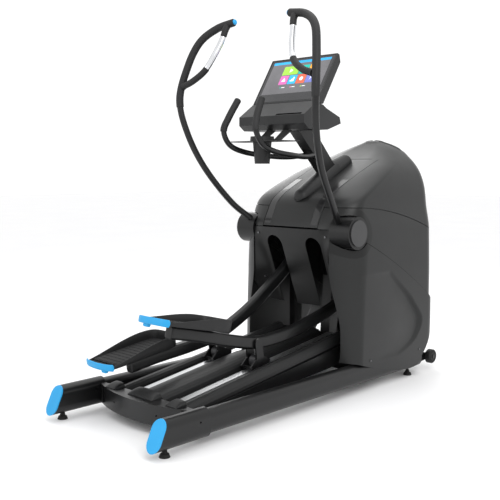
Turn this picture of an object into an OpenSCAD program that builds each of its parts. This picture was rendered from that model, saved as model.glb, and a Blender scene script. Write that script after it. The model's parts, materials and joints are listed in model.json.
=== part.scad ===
// Front-drive elliptical trainer. Millimetres, +Y towards the drive housing, +Z up.
// Lengths named *_y are measured forward from the rear tip of the base rails.

/* [Overall] */
// Length over the rail caps and the transport wheels
machine_len = 2112; // [2080:1:2150]
// Distance from the centre plane to a base rail's centre
rail_x = 364; // [350:1:375]
// Distance from the centre plane to a pedal arm and its track
arm_x = 134; // [130:1:138]

/* [Base rails] */
// Width of a main rail tube
rail_w = 72; // [60:1:76]
// Height of a main rail tube
rail_h = 110; // [90:1:114]
// Width of the rear sleeve around the rail
sleeve_w = 80; // [78:1:84]
// Height of the rear sleeve
sleeve_h = 130; // [120:1:134]
// Length of the rear sleeve along its bottom
sleeve_len = 297; // [240:1:320]
// Height of the rail's centre line
rail_z = 96; // [94:1:100]
// Lean of the rear end face
end_lean = 25; // [15:1:30]
// Wall of the steel tubes
tube_wall = 3; // [2:0.5:4]

/* [Feet and wheels] */
// Radius of a levelling foot
foot_r = 24; // [18:1:28]
// Distance of the rear feet from the rail tips
rear_foot_y = 75; // [70:1:110]
// Distance of the front feet from the rail tips
front_foot_y = 1869; // [1800:1:1880]
// Radius of a transport wheel
wheel_r = 40; // [35:1:42]
// Width of a transport wheel
wheel_w = 36; // [30:1:38]
// Distance from the centre plane to a transport wheel's centre
wheel_x = 390; // [388:1:394]

/* [Ramp] */
// Slope of the ramp at its lowest setting
ramp_angle = 7.85; // [6:0.05:9]
// Distance of the ramp's hinge from the rail tips
ramp_y = 290; // [285:1:295]
// Height of the ramp's hinge
ramp_z = 100; // [95:1:105]
// Length of the ramp from its hinge
ramp_len = 1190; // [1150:1:1195]
// Width of an aluminium track
track_w = 40; // [36:1:44]

/* [Drive] */
// Radius of the crank
crank_r = 174.4; // [170:0.1:176]
// Distance of the crank's axle from the rail tips
crank_y = 1727.8; // [1720:0.1:1735]
// Height of the crank's axle
crank_z = 713.5; // [705:0.1:720]
// Radius of the big drive pulley
pulley_r = 120; // [100:1:125]
// Radius of the flywheel
flywheel_r = 130; // [110:1:135]

/* [Pedals and arms] */
// Tilt of each arm away from its middle position
arm_tilt = 10.2; // [9:0.1:11]
// Distance of the arm's pivot from the rail tips, at mid stroke
pivot_y = 845; // [835:1:855]
// Height of the arm's pivot, at mid stroke
pivot_z = 313; // [308:1:316]
// Width of the arm tube
arm_w = 48; // [44:1:50]
// Height of the arm tube
arm_h = 62; // [56:1:66]
// Distance from the centre plane to a pedal's centre
pedal_x = 175; // [170:1:178]
// Length of a pedal
pedal_len = 410; // [380:1:420]

/* [Handlebars] */
// Radius of the handlebar tube
bar_r = 17; // [15:0.5:18]
// Radius over the grip sleeve
grip_r = 20; // [19:0.5:21]
// Distance of the handlebar's pivot from the rail tips
hub_y = 1347; // [1340:1:1350]
// Height of the handlebar's pivot
hub_z = 832; // [825:1:840]
// Radius of the handlebar's hub
hub_r = 84; // [80:1:86]
// Distance from the centre plane to the hub's outer face
hub_face_x = 395; // [393:1:398]

/* [Housing] */
// Wall of the moulded covers
cover_wall = 4; // [3:0.5:4]
// Width of an arm slot
slot_w = 104; // [96:1:110]

/* [Console] */
// Width of the console
console_w = 446; // [420:1:450]
// Lean of the screen back from upright
screen_lean = 32.5; // [28:0.5:36]
// Height of the screen along its slope
screen_h = 294; // [280:1:300]

/* [Hidden] */
$fn = 48;
hull_fn = 32;
run_gap = 0.05;
foot_h = 14;
axle_z = wheel_r + 37;
axle_y = machine_len - wheel_r;
shaft_y = 1850;
shaft_z = 330;
idler_y = 1708.3;
idler_z = 450.6;
belt_x = 55;
belt_w = 14;
shaft_pulley_r = 26;
screen_y = 1219;
screen_z = 1500;
screen_t = 44;
seat_tilt = -2.8;

// Centre line of the pedal arm about its pivot, [forward, up], in the middle of its tilt
arm_line = [
    [-560, 34], [-395, 25], [-190, 6], [0, 0], [152, 27], [300, 71],
    [411, 117], [580, 193], [740, 290], [897.1, 406.9]
];
// Centre line of the right handlebar, from its hub to its inward tip
bar_line = [
    [306, 1290, 883], [354, 1179, 980], [399, 1029, 1160], [437, 940, 1340], [461, 905, 1520],
    [434, 942, 1700], [388, 986, 1822], [300, 1025, 1886], [187, 1040, 1908]
];
// Centre line of the inner grip loop, from the handlebar to its tip
loop_line = [
    [440, 912, 1591], [374, 918, 1613], [303, 938, 1662], [266, 967, 1733], [242, 1000, 1810],
    [231, 1018, 1868]
];
// Centre line of the right half of the fixed handlebar, from the mast to its tip
fixed_line = [
    [30, 1462, 1236], [60, 1330, 1222], [92, 1200, 1226], [105, 1030, 1244], [112, 930, 1278],
    [110, 885, 1345], [97, 905, 1410], [80, 961, 1507]
];
// Housing outline by height: half width, rear edge, depth of the rear corner, front edge
housing_w = [
    [50, 398], [300, 396], [600, 392], [850, 384], [950, 362], [1050, 352], [1100, 337], [1150, 315],
    [1200, 278], [1250, 236], [1295, 190], [1320, 130]
];
housing_rear = [
    [50, 1290], [850, 1258], [1000, 1336], [1050, 1432], [1100, 1540], [1150, 1650], [1200, 1768],
    [1250, 1880], [1295, 1950], [1320, 1990]
];
housing_corner = [
    [50, 100], [400, 130], [850, 190], [950, 110], [1050, 108], [1150, 100], [1250, 140], [1295, 100],
    [1320, 35]
];
housing_front = [[50, 2086], [300, 2098], [1000, 2100], [1200, 2098], [1250, 2092], [1295, 2074], [1320, 2040]];
// Lower edge of the housing's sides, [forward, up]
skirt_line = [
    [1180, 164], [1300, 162], [1352, 154], [1436, 128], [1722, 59], [1823, 51], [1906, 56], [1936, 91], [1988, 135],
    [2050, 215], [2130, 300]
];
// Heights of the housing's sections
housing_levels = [
    50, 130, 210, 300, 400, 500, 600, 700, 790, 850, 900, 950, 1000, 1050, 1100, 1150, 1200, 1235,
    1265, 1295, 1320
];
upper_seam = [1490, 953, -0.269];
lower_seam = [1437, 776, -0.576];

function cubic(a, b, c, d, t) =
    0.5 * (2 * b + (c - a) * t + (2 * a - 5 * b + 4 * c - d) * t * t + (3 * b - a - 3 * c + d) * t * t * t);
function smooth(p, n) = [
    for (i = [0 : len(p) - 2]) for (j = [0 : n - 1])
        cubic(i > 0 ? p[i - 1] : 2 * p[0] - p[1], p[i], p[i + 1],
              i < len(p) - 2 ? p[i + 2] : 2 * p[i + 1] - p[i], j / n),
    p[len(p) - 1]
];
function unit(v) = v / norm(v);
function tangent(p, i) = unit(p[min(i + 1, len(p) - 1)] - p[max(i - 1, 0)]);
function ring_at(p, i, ref, profile) =
    let (t = tangent(p, i), side = unit(cross(t, ref)), up = cross(side, t))
    [for (q = profile) p[i] + side * q[0] + up * q[1]];
function round_profile(r, n) = [for (k = [0 : n - 1]) [r * cos(360 * k / n), r * sin(360 * k / n)]];
function box_profile(w, h, r, n = 4) = [
    for (c = [[1, 1, 0], [-1, 1, 90], [-1, -1, 180], [1, -1, 270]]) for (k = [0 : n - 1])
        [c[0] * (w / 2 - r) + r * cos(c[2] + 90 * k / (n - 1)),
         c[1] * (h / 2 - r) + r * sin(c[2] + 90 * k / (n - 1))]
];
function mirrored(p) = [for (q = p) [-q[0], q[1], q[2]]];
function sided(p, side) = side > 0 ? p : mirrored(p);

// Side faces between rings of n points, starting at point number first
function wall_faces(rings, n, first, out) = [
    for (i = [0 : rings - 2]) for (k = [0 : n - 1])
        let (a = first + i * n + k, b = first + i * n + (k + 1) % n, c = b + n, d = a + n)
        each out ? [[a, b, c], [a, c, d]] : [[a, c, b], [a, d, c]]
];
function join_faces(a, b, n, out) = [
    for (k = [0 : n - 1])
        let (p = a + k, q = a + (k + 1) % n, r = b + (k + 1) % n, s = b + k)
        each out ? [[p, q, r], [p, r, s]] : [[p, r, q], [p, s, r]]
];

// Solid bar along the points of a line from one number to another
module bar(p, profile, ref, from, to) {
    n = len(profile);
    m = to - from + 1;
    points = [for (i = [from : to]) each ring_at(p, i, ref, profile)];
    polyhedron(points, concat(
        wall_faces(m, n, 0, true),
        [[for (k = [n - 1 : -1 : 0]) k]],
        [[for (k = [0 : n - 1]) (m - 1) * n + k]]
    ));
}

// Open-ended tube along a line, from its point number from
module tube(p, outer, inner, ref, from = 0) {
    n = len(outer);
    m = len(p) - from;
    points = concat(
        [for (i = [from : len(p) - 1]) each ring_at(p, i, ref, outer)],
        [for (i = [from : len(p) - 1]) each ring_at(p, i, ref, inner)]
    );
    polyhedron(points, concat(
        wall_faces(m, n, 0, true),
        wall_faces(m, n, m * n, false),
        join_faces(0, m * n, n, false),
        join_faces((m - 1) * n, (2 * m - 1) * n, n, true)
    ));
}

// Smooth solid through level rings
module skin(rings) {
    n = len(rings[0]);
    m = len(rings);
    polyhedron([for (r = rings) each r], concat(
        wall_faces(m, n, 0, false),
        [[for (k = [0 : n - 1]) k]],
        [[for (k = [n - 1 : -1 : 0]) (m - 1) * n + k]]
    ));
}

// A free-form moulding, drawn as one smooth mesh
module moulding() { resize([0, 0, 0]) children(); }
module place() { translate([0, -machine_len / 2, 0]) children(); }
module both() { children(); mirror([1, 0, 0]) children(); }
module one_side(side) { mirror([side < 0 ? 1 : 0, 0, 0]) children(); }
// A cylinder along X from x1 to x2
module rod(x1, x2, y, z, r) { translate([x1, y, z]) rotate([0, 90, 0]) cylinder(r = r, h = x2 - x1); }
// A side-view outline, [forward, up], drawn from x1 to x2
module slab(x1, x2, outline) {
    translate([x1, 0, 0]) rotate([90, 0, 90]) linear_extrude(x2 - x1) polygon(outline);
}
module stadium(w, h) {
    square([w, h - w], center = true);
    translate([0, (h - w) / 2]) circle(d = w);
    translate([0, (w - h) / 2]) circle(d = w);
}
module stadium_tube(w, h, from, to, wall) {
    translate([0, to, 0]) rotate([90, 0, 0]) difference() {
        linear_extrude(to - from) stadium(w, h);
        translate([0, 0, -1]) linear_extrude(to - from + 2) stadium(w - 2 * wall, h - 2 * wall);
    }
}
// The rear end plane: everything behind it, shifted forward by d
module behind_end(d) {
    translate([-60, d, rail_z - sleeve_h / 2]) rotate([-end_lean, 0, 0])
        translate([0, -200, -60]) cube([120, 200, 320]);
}
module on_ramp() { translate([0, ramp_y, ramp_z]) rotate([ramp_angle, 0, 0]) children(); }
module on_arm(side) {
    translate([0, pivot_y, pivot_z]) rotate([-side * arm_tilt, 0, 0]) one_side(side) children();
}

// ---------------------------------------------------------------- base

module base_rail(side) {
    color("#232425") place() translate([side * rail_x, 0, 0]) difference() {
        union() {
            difference() {
                translate([0, 0, rail_z]) stadium_tube(sleeve_w, sleeve_h, -5, sleeve_len, tube_wall);
                behind_end(6);
            }
            translate([0, 0, rail_z]) stadium_tube(sleeve_w - 2 * tube_wall, sleeve_h - 2 * tube_wall,
                                                   sleeve_len - 60, sleeve_len, 4);
            translate([0, 0, rail_z]) stadium_tube(rail_w, rail_h, sleeve_len - 60, 1960, tube_wall);
        }
        for (y = [rear_foot_y, front_foot_y]) translate([0, y, 0]) cylinder(r = 6.3, h = rail_z);
        for (x = [-1, 1]) rod(x > 0 ? 20 : -60, x > 0 ? 60 : -20, 239, 113, 4.5);
    }
}
module left_base_rail() { base_rail(-1); }
module right_base_rail() { base_rail(1); }

module rail_end_caps() {
    color("#3fc0f5") place() both() translate([rail_x, 0, 0]) {
        intersection() {
            translate([0, 100, rail_z]) rotate([90, 0, 0]) linear_extrude(110) stadium(sleeve_w, sleeve_h);
            difference() {
                behind_end(6);
                behind_end(0);
            }
        }
        difference() {
            translate([0, 110, rail_z]) rotate([90, 0, 0])
                linear_extrude(110) stadium(sleeve_w - 2 * tube_wall - 1, sleeve_h - 2 * tube_wall - 1);
            translate([0, 111, rail_z]) rotate([90, 0, 0])
                linear_extrude(112) stadium(sleeve_w - 2 * tube_wall - 8, sleeve_h - 2 * tube_wall - 8);
            behind_end(5.9);
            translate([-60, 40, 0]) cube([120, 100, 60]);
        }
    }
}

module levelling_feet() {
    color("#1b1c1d") place() both() for (y = [rear_foot_y, front_foot_y]) translate([rail_x, y, 0]) {
        cylinder(r1 = foot_r, r2 = foot_r - 5, h = foot_h);
        translate([0, 0, foot_h]) cylinder(r = 12, h = 8);
        cylinder(r = 6, h = 90);
        translate([0, 0, foot_h + 8]) cylinder(r = 11, h = 8, $fn = 6);
    }
}

module rear_crossmember() {
    bow_r = 780;
    color("#252627") place() difference() {
        union() {
            difference() {
                translate([0, 197 + bow_r, 46]) cylinder(r = bow_r, h = 92);
                translate([0, 197 + bow_r, 45]) cylinder(r = bow_r - 4, h = 89);
                translate([-900, 292, 0]) cube([1800, 1700, 300]);
                translate([rail_x - sleeve_w / 2 - 0.1, 0, 0]) cube([600, 1800, 300]);
                translate([-rail_x + sleeve_w / 2 + 0.1 - 600, 0, 0]) cube([600, 1800, 300]);
            }
            for (x = [-281, -200, 195, 276]) slab(x, x + 5, [[240, 60], [304, 60], [304, 112], [240, 134]]);
            rod(-290, 290, ramp_y, ramp_z, 10);
        }
        for (x = [-150, 150]) translate([x, 150, 92]) rotate([-90, 0, 0]) cylinder(r = 5, h = 70);
        translate([-500, 304, 0]) cube([1000, 600, 300]);
    }
}

module hinge_cover(x, w, h) {
    difference() {
        translate([x - w / 2, 236, 138.2]) cube([w, 60, h]);
        translate([x - w / 2 - 1, 296, 138]) rotate([0, 90, 0]) difference() {
            translate([-200, -200, 0]) cube([200, 200, w + 2]);
            cylinder(r = 60, h = w + 2);
        }
        translate([x - w / 2 - 1, 299, 132]) rotate([ramp_angle, 0, 0]) cube([w + 2, 60, 90]);
    }
}
module ramp_hinge_covers() {
    color("#2b2c2d") place() {
        hinge_cover(0, 176, 30);
        for (x = [-216, 216]) hinge_cover(x, 76, 24);
    }
}

module front_crossmember() {
    color("#232425") place() {
        translate([-rail_x + rail_w / 2 + 0.1, 1560, 48]) difference() {
            cube([2 * rail_x - rail_w - 0.2, 60, 50]);
            translate([-1, 3, 3]) cube([2 * rail_x, 54, 44]);
        }
        difference() {
            translate([-rail_x - 6, 1960.2, 48]) cube([2 * rail_x + 12, 40, 70]);
            translate([-rail_x - 9, 1963, 51]) cube([2 * rail_x + 18, 34, 64]);
        }
        both() {
            slab(rail_x - 6, rail_x + 4, [[2000, 52], [2000, 112], [2060, 96], [2082, 86], [2082, 68], [2060, 58]]);
            rod(rail_x + 3, wheel_x + wheel_w / 2 + 1, axle_y, axle_z, 8);
            rod(wheel_x + wheel_w / 2 + 0.4, wheel_x + wheel_w / 2 + 4, axle_y, axle_z, 11);
        }
    }
}

module transport_wheel(side) {
    color("#1a1a1b") place() translate([side * wheel_x, axle_y, axle_z]) rotate([0, 90, 0]) difference() {
        rotate_extrude() polygon([
            [0, -wheel_w / 2 + 3], [14, -wheel_w / 2], [26, -wheel_w / 2], [30, -wheel_w / 2 + 4],
            [35, -wheel_w / 2], [wheel_r, -wheel_w / 2 + 5], [wheel_r, wheel_w / 2 - 5], [35, wheel_w / 2],
            [30, wheel_w / 2 - 4], [26, wheel_w / 2], [14, wheel_w / 2], [0, wheel_w / 2 - 3]
        ]);
        cylinder(r = 8 + run_gap, h = 2 * wheel_w, center = true);
    }
}
module left_transport_wheel() { transport_wheel(-1); }
module right_transport_wheel() { transport_wheel(1); }

// ---------------------------------------------------------------- ramp

module ramp_frame() {
    beam = [[24, -46], [24, -14], [ramp_len, -20], [ramp_len, -118], [ramp_len - 60, -118], [400, -66]];
    inner = [[21, -43], [21, -17], [ramp_len + 3, -23], [ramp_len + 3, -115], [ramp_len - 61, -115], [400, -63]];
    color("#262728") place() on_ramp() {
        both() difference() {
            slab(204, 264, beam);
            slab(207, 261, inner);
        }
        both() difference() {
            slab(201, 204.1, [[24, -46], [24, 0], [ramp_len, 0], [ramp_len, -118], [400, -66]]);
            slab(200, 205, [[40, -42], [200, -42], [200, -30], [40, -30]]);
        }
        translate([-204, 40, 0]) cube([408, ramp_len - 40, 3]);
        for (s = [300, 700, ramp_len - 90])
            translate([-204, s, -40]) cube([408, 40, 40.1]);
        both() difference() {
            hull() {
                rod(204, 264, 0, 0, 22, $fn = hull_fn);
                translate([204, 24, -40]) cube([60, 2, 26]);
            }
            rod(190, 280, 0, 0, 10 + run_gap);
        }
    }
}

// A moulded cover closed at both ends, from its outer and inner outlines [across, up]
module ramp_cover(outer, inner, from, to) {
    translate([0, to, 0]) rotate([90, 0, 0]) difference() {
        linear_extrude(to - from) polygon(outer);
        translate([0, 0, 3]) linear_extrude(to - from - 6) polygon(inner);
    }
}
function arch(w, h, low) = [for (a = [0 : 15 : 180]) [w / 2 * cos(a), low + h * pow(sin(a), 0.7)]];
side_cover_line = [
    [180, 3.2], [182, 14], [190, 26], [204, 33], [220, 34], [234, 28], [244, 16], [250, 2], [252, -12.8],
    [204.8, -12.8], [204.8, 3.2]
];
side_cover_inner = [
    [184, 2], [185.5, 12.5], [192.5, 23], [205, 29.5], [219.5, 30.3], [232, 24.5], [241, 13.5],
    [246.5, 1], [248.5, -14], [204, -14], [204, 2]
];
module ramp_covers() {
    color("#2d2e2f") place() on_ramp() {
        ramp_cover(arch(168, 48, 3.2), arch(161, 44.5, 3), 26, 640);
        ramp_cover(arch(150, 36, 3.2), arch(143, 32.5, 3), 642, ramp_len - 35);
        both() ramp_cover(side_cover_line, side_cover_inner, 26, ramp_len - 35);
    }
}

module guide_tracks() {
    color("#c9ccd0") place() on_ramp() both() translate([arm_x, 0, 0]) difference() {
        translate([-track_w / 2, 44, 3.2]) cube([track_w, ramp_len - 60, 9]);
        for (x = [-12, 0, 12]) translate([x - 3.5, 40, 5]) cube([7, ramp_len, 4.5]);
    }
}

// ---------------------------------------------------------------- carriages

track_top = 12.2;
roller_r = 30;
carriage_s = (pivot_y - ramp_y) * cos(ramp_angle) + (pivot_z - ramp_z) * sin(ramp_angle);
carriage_n = (pivot_z - ramp_z) * cos(ramp_angle) - (pivot_y - ramp_y) * sin(ramp_angle);

module carriage(side) {
    roller_n = track_top + roller_r + 0.3;
    color("#1f2021") place() on_ramp() one_side(side) translate([0, carriage_s, 0]) {
        for (x = [arm_x - 36, arm_x + 28]) difference() {
            union() {
                hull() {
                    rod(x, x + 8, 0, carriage_n, 24, $fn = hull_fn);
                    rod(x, x + 8, 0, roller_n, 24, $fn = hull_fn);
                }
                slab(x, x + 8, [[-62, 20], [-70, 34], [-30, 62], [30, 62], [70, 34], [62, 20]]);
            }
            rod(x - 1, x + 9, 0, roller_n, 8);
        }
        for (s = [-64, 52]) translate([arm_x - 28.1, s, 22]) cube([56.2, 12, 12]);
        rod(arm_x - 36, arm_x + 36, 0, carriage_n, 10);
        rod(arm_x - 36, arm_x + 36, 0, roller_n, 8);
    }
}
module left_carriage() { carriage(-1); }
module right_carriage() { carriage(1); }

module rollers(side) {
    roller_n = track_top + roller_r + 0.3;
    color("#3a3c3e") place() on_ramp() one_side(side)
        translate([arm_x, carriage_s, roller_n]) rotate([0, 90, 0]) difference() {
            rotate_extrude() polygon([
                [0, -22], [14, -22], [14, -19], [roller_r - 2, -19], [roller_r, -17], [roller_r, 17],
                [roller_r - 2, 19], [14, 19], [14, 22], [0, 22]
            ]);
            cylinder(r = 8 + run_gap, h = 80, center = true);
        }
}
module left_roller() { rollers(-1); }
module right_roller() { rollers(1); }

// ---------------------------------------------------------------- pedal arms

module pedal_arm(side) {
    path = smooth([for (q = arm_line) [arm_x, q[0], q[1]]], 4);
    eye = arm_line[len(arm_line) - 1];
    color("#242526") place() on_arm(side) difference() {
        union() {
            difference() {
                tube(path, box_profile(arm_h, arm_w, 14), box_profile(arm_h - 6, arm_w - 6, 11), [1, 0, 0]);
                rod(arm_x - 60, arm_x + 60, eye[0], eye[1], 30);
            }
            rod(arm_x - arm_w / 2, arm_x + arm_w / 2, eye[0], eye[1], 36);
            rod(arm_x - arm_w / 2, arm_x + arm_w / 2, 0, 0, 22);
            rod(98, arm_x, eye[0], eye[1], 10);
            translate([arm_x - arm_w / 2 + 1, -562, 5]) cube([arm_w - 2, 5, 58]);
            pedal_frame() translate([-60, 150, -22]) cube([38, 190, 7.9]);
        }
        rod(arm_x - 60, arm_x + 60, 0, 0, 10 + run_gap);
        translate([arm_x, -520, -10]) cylinder(r = 5, h = 25);
    }
}
module left_pedal_arm() { pedal_arm(-1); }
module right_pedal_arm() { pedal_arm(1); }

// A pedal lies in its own frame: origin at the middle of its rear edge, +Y forward
module pedal_frame() { translate([pedal_x, -694.5, 87.7]) rotate([seat_tilt, 0, 0]) children(); }
module on_pedal(side) { on_arm(side) pedal_frame() children(); }
pedal_outline = [
    [-86, 2], [-60, -8], [0, -13], [60, -8], [86, 2], [97, 22], [102, 110], [104, 250], [102, 340], [94, 380],
    [74, 402], [40, 410], [-40, 410], [-76, 402], [-96, 380], [-103, 340], [-104, 250], [-102, 110],
    [-97, 22]
];

module pedal_tray(side) {
    color("#2a2b2c") place() on_pedal(side) difference() {
        translate([0, 0, -14]) linear_extrude(58) polygon(pedal_outline);
        translate([0, 0, -8]) linear_extrude(80)
            polygon([for (q = pedal_outline) [q[0] * 0.93, 14 + (q[1] - 14) * 0.955]]);
        slab(-200, 200, [[-60, 10], [40, 16], [330, 44], [330, 120], [-60, 120]]);
        translate([-150, -40, -40]) cube([300, 54, 100]);
    }
}
module left_pedal() { pedal_tray(-1); }
module right_pedal() { pedal_tray(1); }

module pedal_pad(side) {
    color("#1d1e1f") place() on_pedal(side)
        translate([0, 0, -7.5]) linear_extrude(10)
            polygon([for (q = pedal_outline) [q[0] * 0.91, max(14.3, 20 + (q[1] - 14) * 0.93)]]);
}
module left_pedal_pad() { pedal_pad(-1); }
module right_pedal_pad() { pedal_pad(1); }

module pedal_bumper(side) {
    color("#38aef0") place() on_pedal(side) {
        intersection() {
            translate([0, 0, -20]) linear_extrude(32) polygon(pedal_outline);
            translate([-150, -40, -40]) cube([300, 53.8, 100]);
        }
        translate([-58, -6, -34]) cube([40, 19, 14.1]);
    }
}
module left_pedal_bumper() { pedal_bumper(-1); }
module right_pedal_bumper() { pedal_bumper(1); }

// ---------------------------------------------------------------- handlebars

bar_ref = [0, 0.93, 0.37];
loop_ref = [0, 1, 0.5];
bar_path = smooth(bar_line, 5);
loop_path = smooth(loop_line, 5);
grip_from = 19;

bar_start = bar_path[0];
bar_aim = bar_path[1] - bar_path[0];
// Along the handlebar's lower end, from inside the hub outwards
module along_bar() {
    translate(bar_start) rotate([0, acos(bar_aim[2] / norm(bar_aim)), atan2(bar_aim[1], bar_aim[0])])
        children();
}

module handlebar(side) {
    color("#202122") place()
        tube(sided(bar_path, side), round_profile(bar_r, 12), round_profile(bar_r - 2.5, 12), bar_ref);
}
module left_handlebar() { handlebar(-1); }
module right_handlebar() { handlebar(1); }

module handle_grip(side) {
    whole = sided(bar_path, side);
    color("#161617") place() moulding() {
        tube(whole, round_profile(grip_r, 12), round_profile(bar_r + 0.3, 12), bar_ref, grip_from);
        difference() {
            bar(sided(loop_path, side), round_profile(15, 12), loop_ref, 0, 11);
            bar(whole, round_profile(bar_r + 0.4, 12), bar_ref, grip_from, grip_from + 7);
        }
    }
}
module left_handle_grip() { handle_grip(-1); }
module right_handle_grip() { handle_grip(1); }

module pulse_contact(side) {
    color("#e4e7ea") place()
        bar(sided(loop_path, side), round_profile(15.6, 12), loop_ref, 11, 25);
}
module left_pulse_contact() { pulse_contact(-1); }
module right_pulse_contact() { pulse_contact(1); }

module handle_hub(side) {
    color("#1e1f20") place() one_side(side) difference() {
        union() {
            difference() {
                rod(264, hub_face_x - 6, hub_y, hub_z, hub_r);
                rod(274, hub_face_x - 12, hub_y, hub_z, hub_r - 22);
            }
            rod(hub_face_x - 6.1, hub_face_x, hub_y, hub_z, 68);
            rod(174, 264.1, hub_y, hub_z, 20);
            slab(176, 190, [
                [hub_y - 26, hub_z - 6], [hub_y + 4, hub_z + 26], [hub_y + 26, hub_z + 8],
                [hub_y + 164, hub_z - 214], [hub_y + 158, hub_z - 240], [hub_y + 126, hub_z - 240]
            ]);
        }
        along_bar() translate([0, 0, -30]) cylinder(r = bar_r + 0.3, h = 90);
        rod(170, 196, hub_y + 144, hub_z - 222, 8);
    }
}
module left_handle_hub() { handle_hub(-1); }
module right_handle_hub() { handle_hub(1); }

module thumb_switch(side) {
    tip = bar_path[len(bar_path) - 1];
    aim = tangent(bar_path, len(bar_path) - 1);
    color("#2f9fe0") place() one_side(side) translate(tip)
        rotate([0, acos(aim[2]), atan2(aim[1], aim[0])]) translate([0, 0, 1.4])
            rotate_extrude() polygon([[0, 0], [14, 0], [14, 5], [10, 9], [0, 10]]);
}
module left_thumb_switch() { thumb_switch(-1); }
module right_thumb_switch() { thumb_switch(1); }

// ---------------------------------------------------------------- drive

// The crank turns with its left end up; the lean sets both pins square to the arms
crank_lean = 24.4;
module crank_set() {
    color("#4a4d50") place() translate([0, crank_y, crank_z]) difference() {
        union() {
            rod(-96, 96, 0, 0, 15);
            for (side = [-1, 1]) rotate([crank_lean + (side > 0 ? 180 : 0), 0, 0]) {
                slab(side > 0 ? 80 : -95, side > 0 ? 95 : -80, [
                    [-26, -34], [26, -34], [30, 0], [22, crank_r + 12], [10, crank_r + 24],
                    [-10, crank_r + 24], [-22, crank_r + 12], [-30, 0]
                ]);
            }
            rod(belt_x, belt_x + belt_w, 0, 0, pulley_r);
            rod(belt_x - 3, belt_x, 0, 0, pulley_r + 5);
        }
        for (a = [0 : 60 : 300]) rod(belt_x - 5, belt_x + belt_w + 1, 75 * cos(a), 75 * sin(a), 24);
    }
}

module flywheel() {
    color("#6b6e72") place() translate([0, shaft_y, shaft_z]) difference() {
        union() {
            rod(-24, 16, 0, 0, flywheel_r);
            rod(-60, belt_x + belt_w + 14, 0, 0, 12);
            rod(belt_x, belt_x + belt_w, 0, 0, shaft_pulley_r);
        }
        for (x = [-25, 2]) difference() {
            rod(x, x + 15, 0, 0, flywheel_r - 26);
            rod(x - 1, x + 16, 0, 0, 30);
        }
    }
}

module idler_pulley() {
    color("#55585b") place() translate([0, idler_y, idler_z]) difference() {
        union() {
            rod(belt_x - 1, belt_x + belt_w + 1, 0, 0, 28);
            rod(belt_x - 3, belt_x - 1, 0, 0, 32);
        }
        rod(0, 100, 0, 0, 8 + run_gap);
    }
}

// Outline of a loop pulled round two circles, [forward, up]
function belt_loop(r1, r2) =
    let (d = [shaft_y - crank_y, shaft_z - crank_z], a = atan2(d[1], d[0]), b = acos((r1 - r2) / norm(d)))
    concat(
        [for (k = [0 : 36]) let (t = a + b + k * (360 - 2 * b) / 36)
            [crank_y + r1 * cos(t), crank_z + r1 * sin(t)]],
        [for (k = [0 : 16]) let (t = a - b + k * 2 * b / 16)
            [shaft_y + r2 * cos(t), shaft_z + r2 * sin(t)]]
    );
module drive_belt() {
    color("#141414") place() difference() {
        slab(belt_x + 1, belt_x + belt_w - 1, belt_loop(pulley_r + 4.6, shaft_pulley_r + 4.6));
        slab(belt_x, belt_x + belt_w, belt_loop(pulley_r + 0.9, shaft_pulley_r + 0.9));
    }
}

module resistance_brake() {
    color("#303336") place() difference() {
        union() {
            translate([-37.9, shaft_y + 60, shaft_z + 20]) cube([67.8, 96, 90]);
            translate([-20, shaft_y + 80, shaft_z + 109.9]) cube([30, 60, 24]);
        }
        rod(-28, 20, shaft_y, shaft_z, flywheel_r + 4);
        rod(-60, 60, shaft_y, shaft_z, 60);
    }
}

module lift_actuator() {
    color("#3b3e41") place() {
        translate([-50, 1370, 50]) cube([100, 189.9, 8]);
        translate([-42, 1480, 57.9]) cube([84, 76, 64]);
        translate([0, 1407.7, 57.9]) cylinder(r = 24, h = 50);
        translate([0, 1407.7, 100]) cylinder(r = 12, h = 93);
        on_ramp() translate([0, ramp_len - 70, -60.3]) sphere(r = 20);
    }
}

module power_inlet() {
    color("#18191a") place() {
        difference() {
            translate([-26, 2000.3, 62]) cube([52, 24, 46]);
            translate([-20, 2006, 68]) cube([40, 20, 34]);
        }
        for (x = [-12, 0, 12]) translate([x - 1, 2005, 84]) cube([2, 14, 5]);
    }
}

module drive_frame() {
    color("#2e3133") place() difference() {
        union() {
            // Side posts from the base to the handlebar bearings and the top cross tube
            both() {
                slab(212, 252, [
                    [1564, 98.1], [1616, 98.1], [1640, 700], [1700, 1040], [1700, 1096], [1648, 1096],
                    [1560, 880], [1380, 880], [1380, 790], [1500, 790], [1564, 640]
                ]);
                rod(212, 261, hub_y, hub_z, 64);
                slab(212, 252, [[hub_y, hub_z - 40], [1390, hub_z - 40], [1390, hub_z + 44], [hub_y, hub_z + 44]]);
            }
            translate([-212.1, 1652, 1062]) cube([424.2, 34, 34]);
            translate([-251, 1564, 98.1]) cube([502, 52, 7]);
            // Centre post with the crank, flywheel and idler bearings
            slab(-32, 32, [
                [1564, 98.1], [1616, 98.1], [1700, 560], [1770, 620], [1770, 760], [1734, 878], [1686, 1096],
                [1652, 1096], [1690, 890], [1686, 878], [1604, 878], [1604, 842], [1680, 740], [1680, 640],
                [1600, 560]
            ]);
            rod(-50, 50, crank_y, crank_z, 44);
            for (x = [-52, 30]) slab(x, x + 14, [
                [1590, 98.2], [1940, 98.2], [1960, 360], [1930, 436], [1860, 400], [1812, shaft_z + 34],
                [1640, 200]
            ]);
            translate([-52, 1620.1, 90]) cube([96, 340, 8.3]);
            slab(31.9, 44, [
                [1650, 430], [1664, 486], [1716, 468], [1726, 448], [1708, 432]
            ]);
            rod(40, belt_x + belt_w + 6, idler_y, idler_z, 8);
        }
        both() rod(200, 270, hub_y, hub_z, 20 + run_gap);
        rod(-60, 60, crank_y, crank_z, 15 + run_gap);
        rod(-60, 60, shaft_y, shaft_z, 12 + run_gap);
    }
}

// ---------------------------------------------------------------- mast and console

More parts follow.
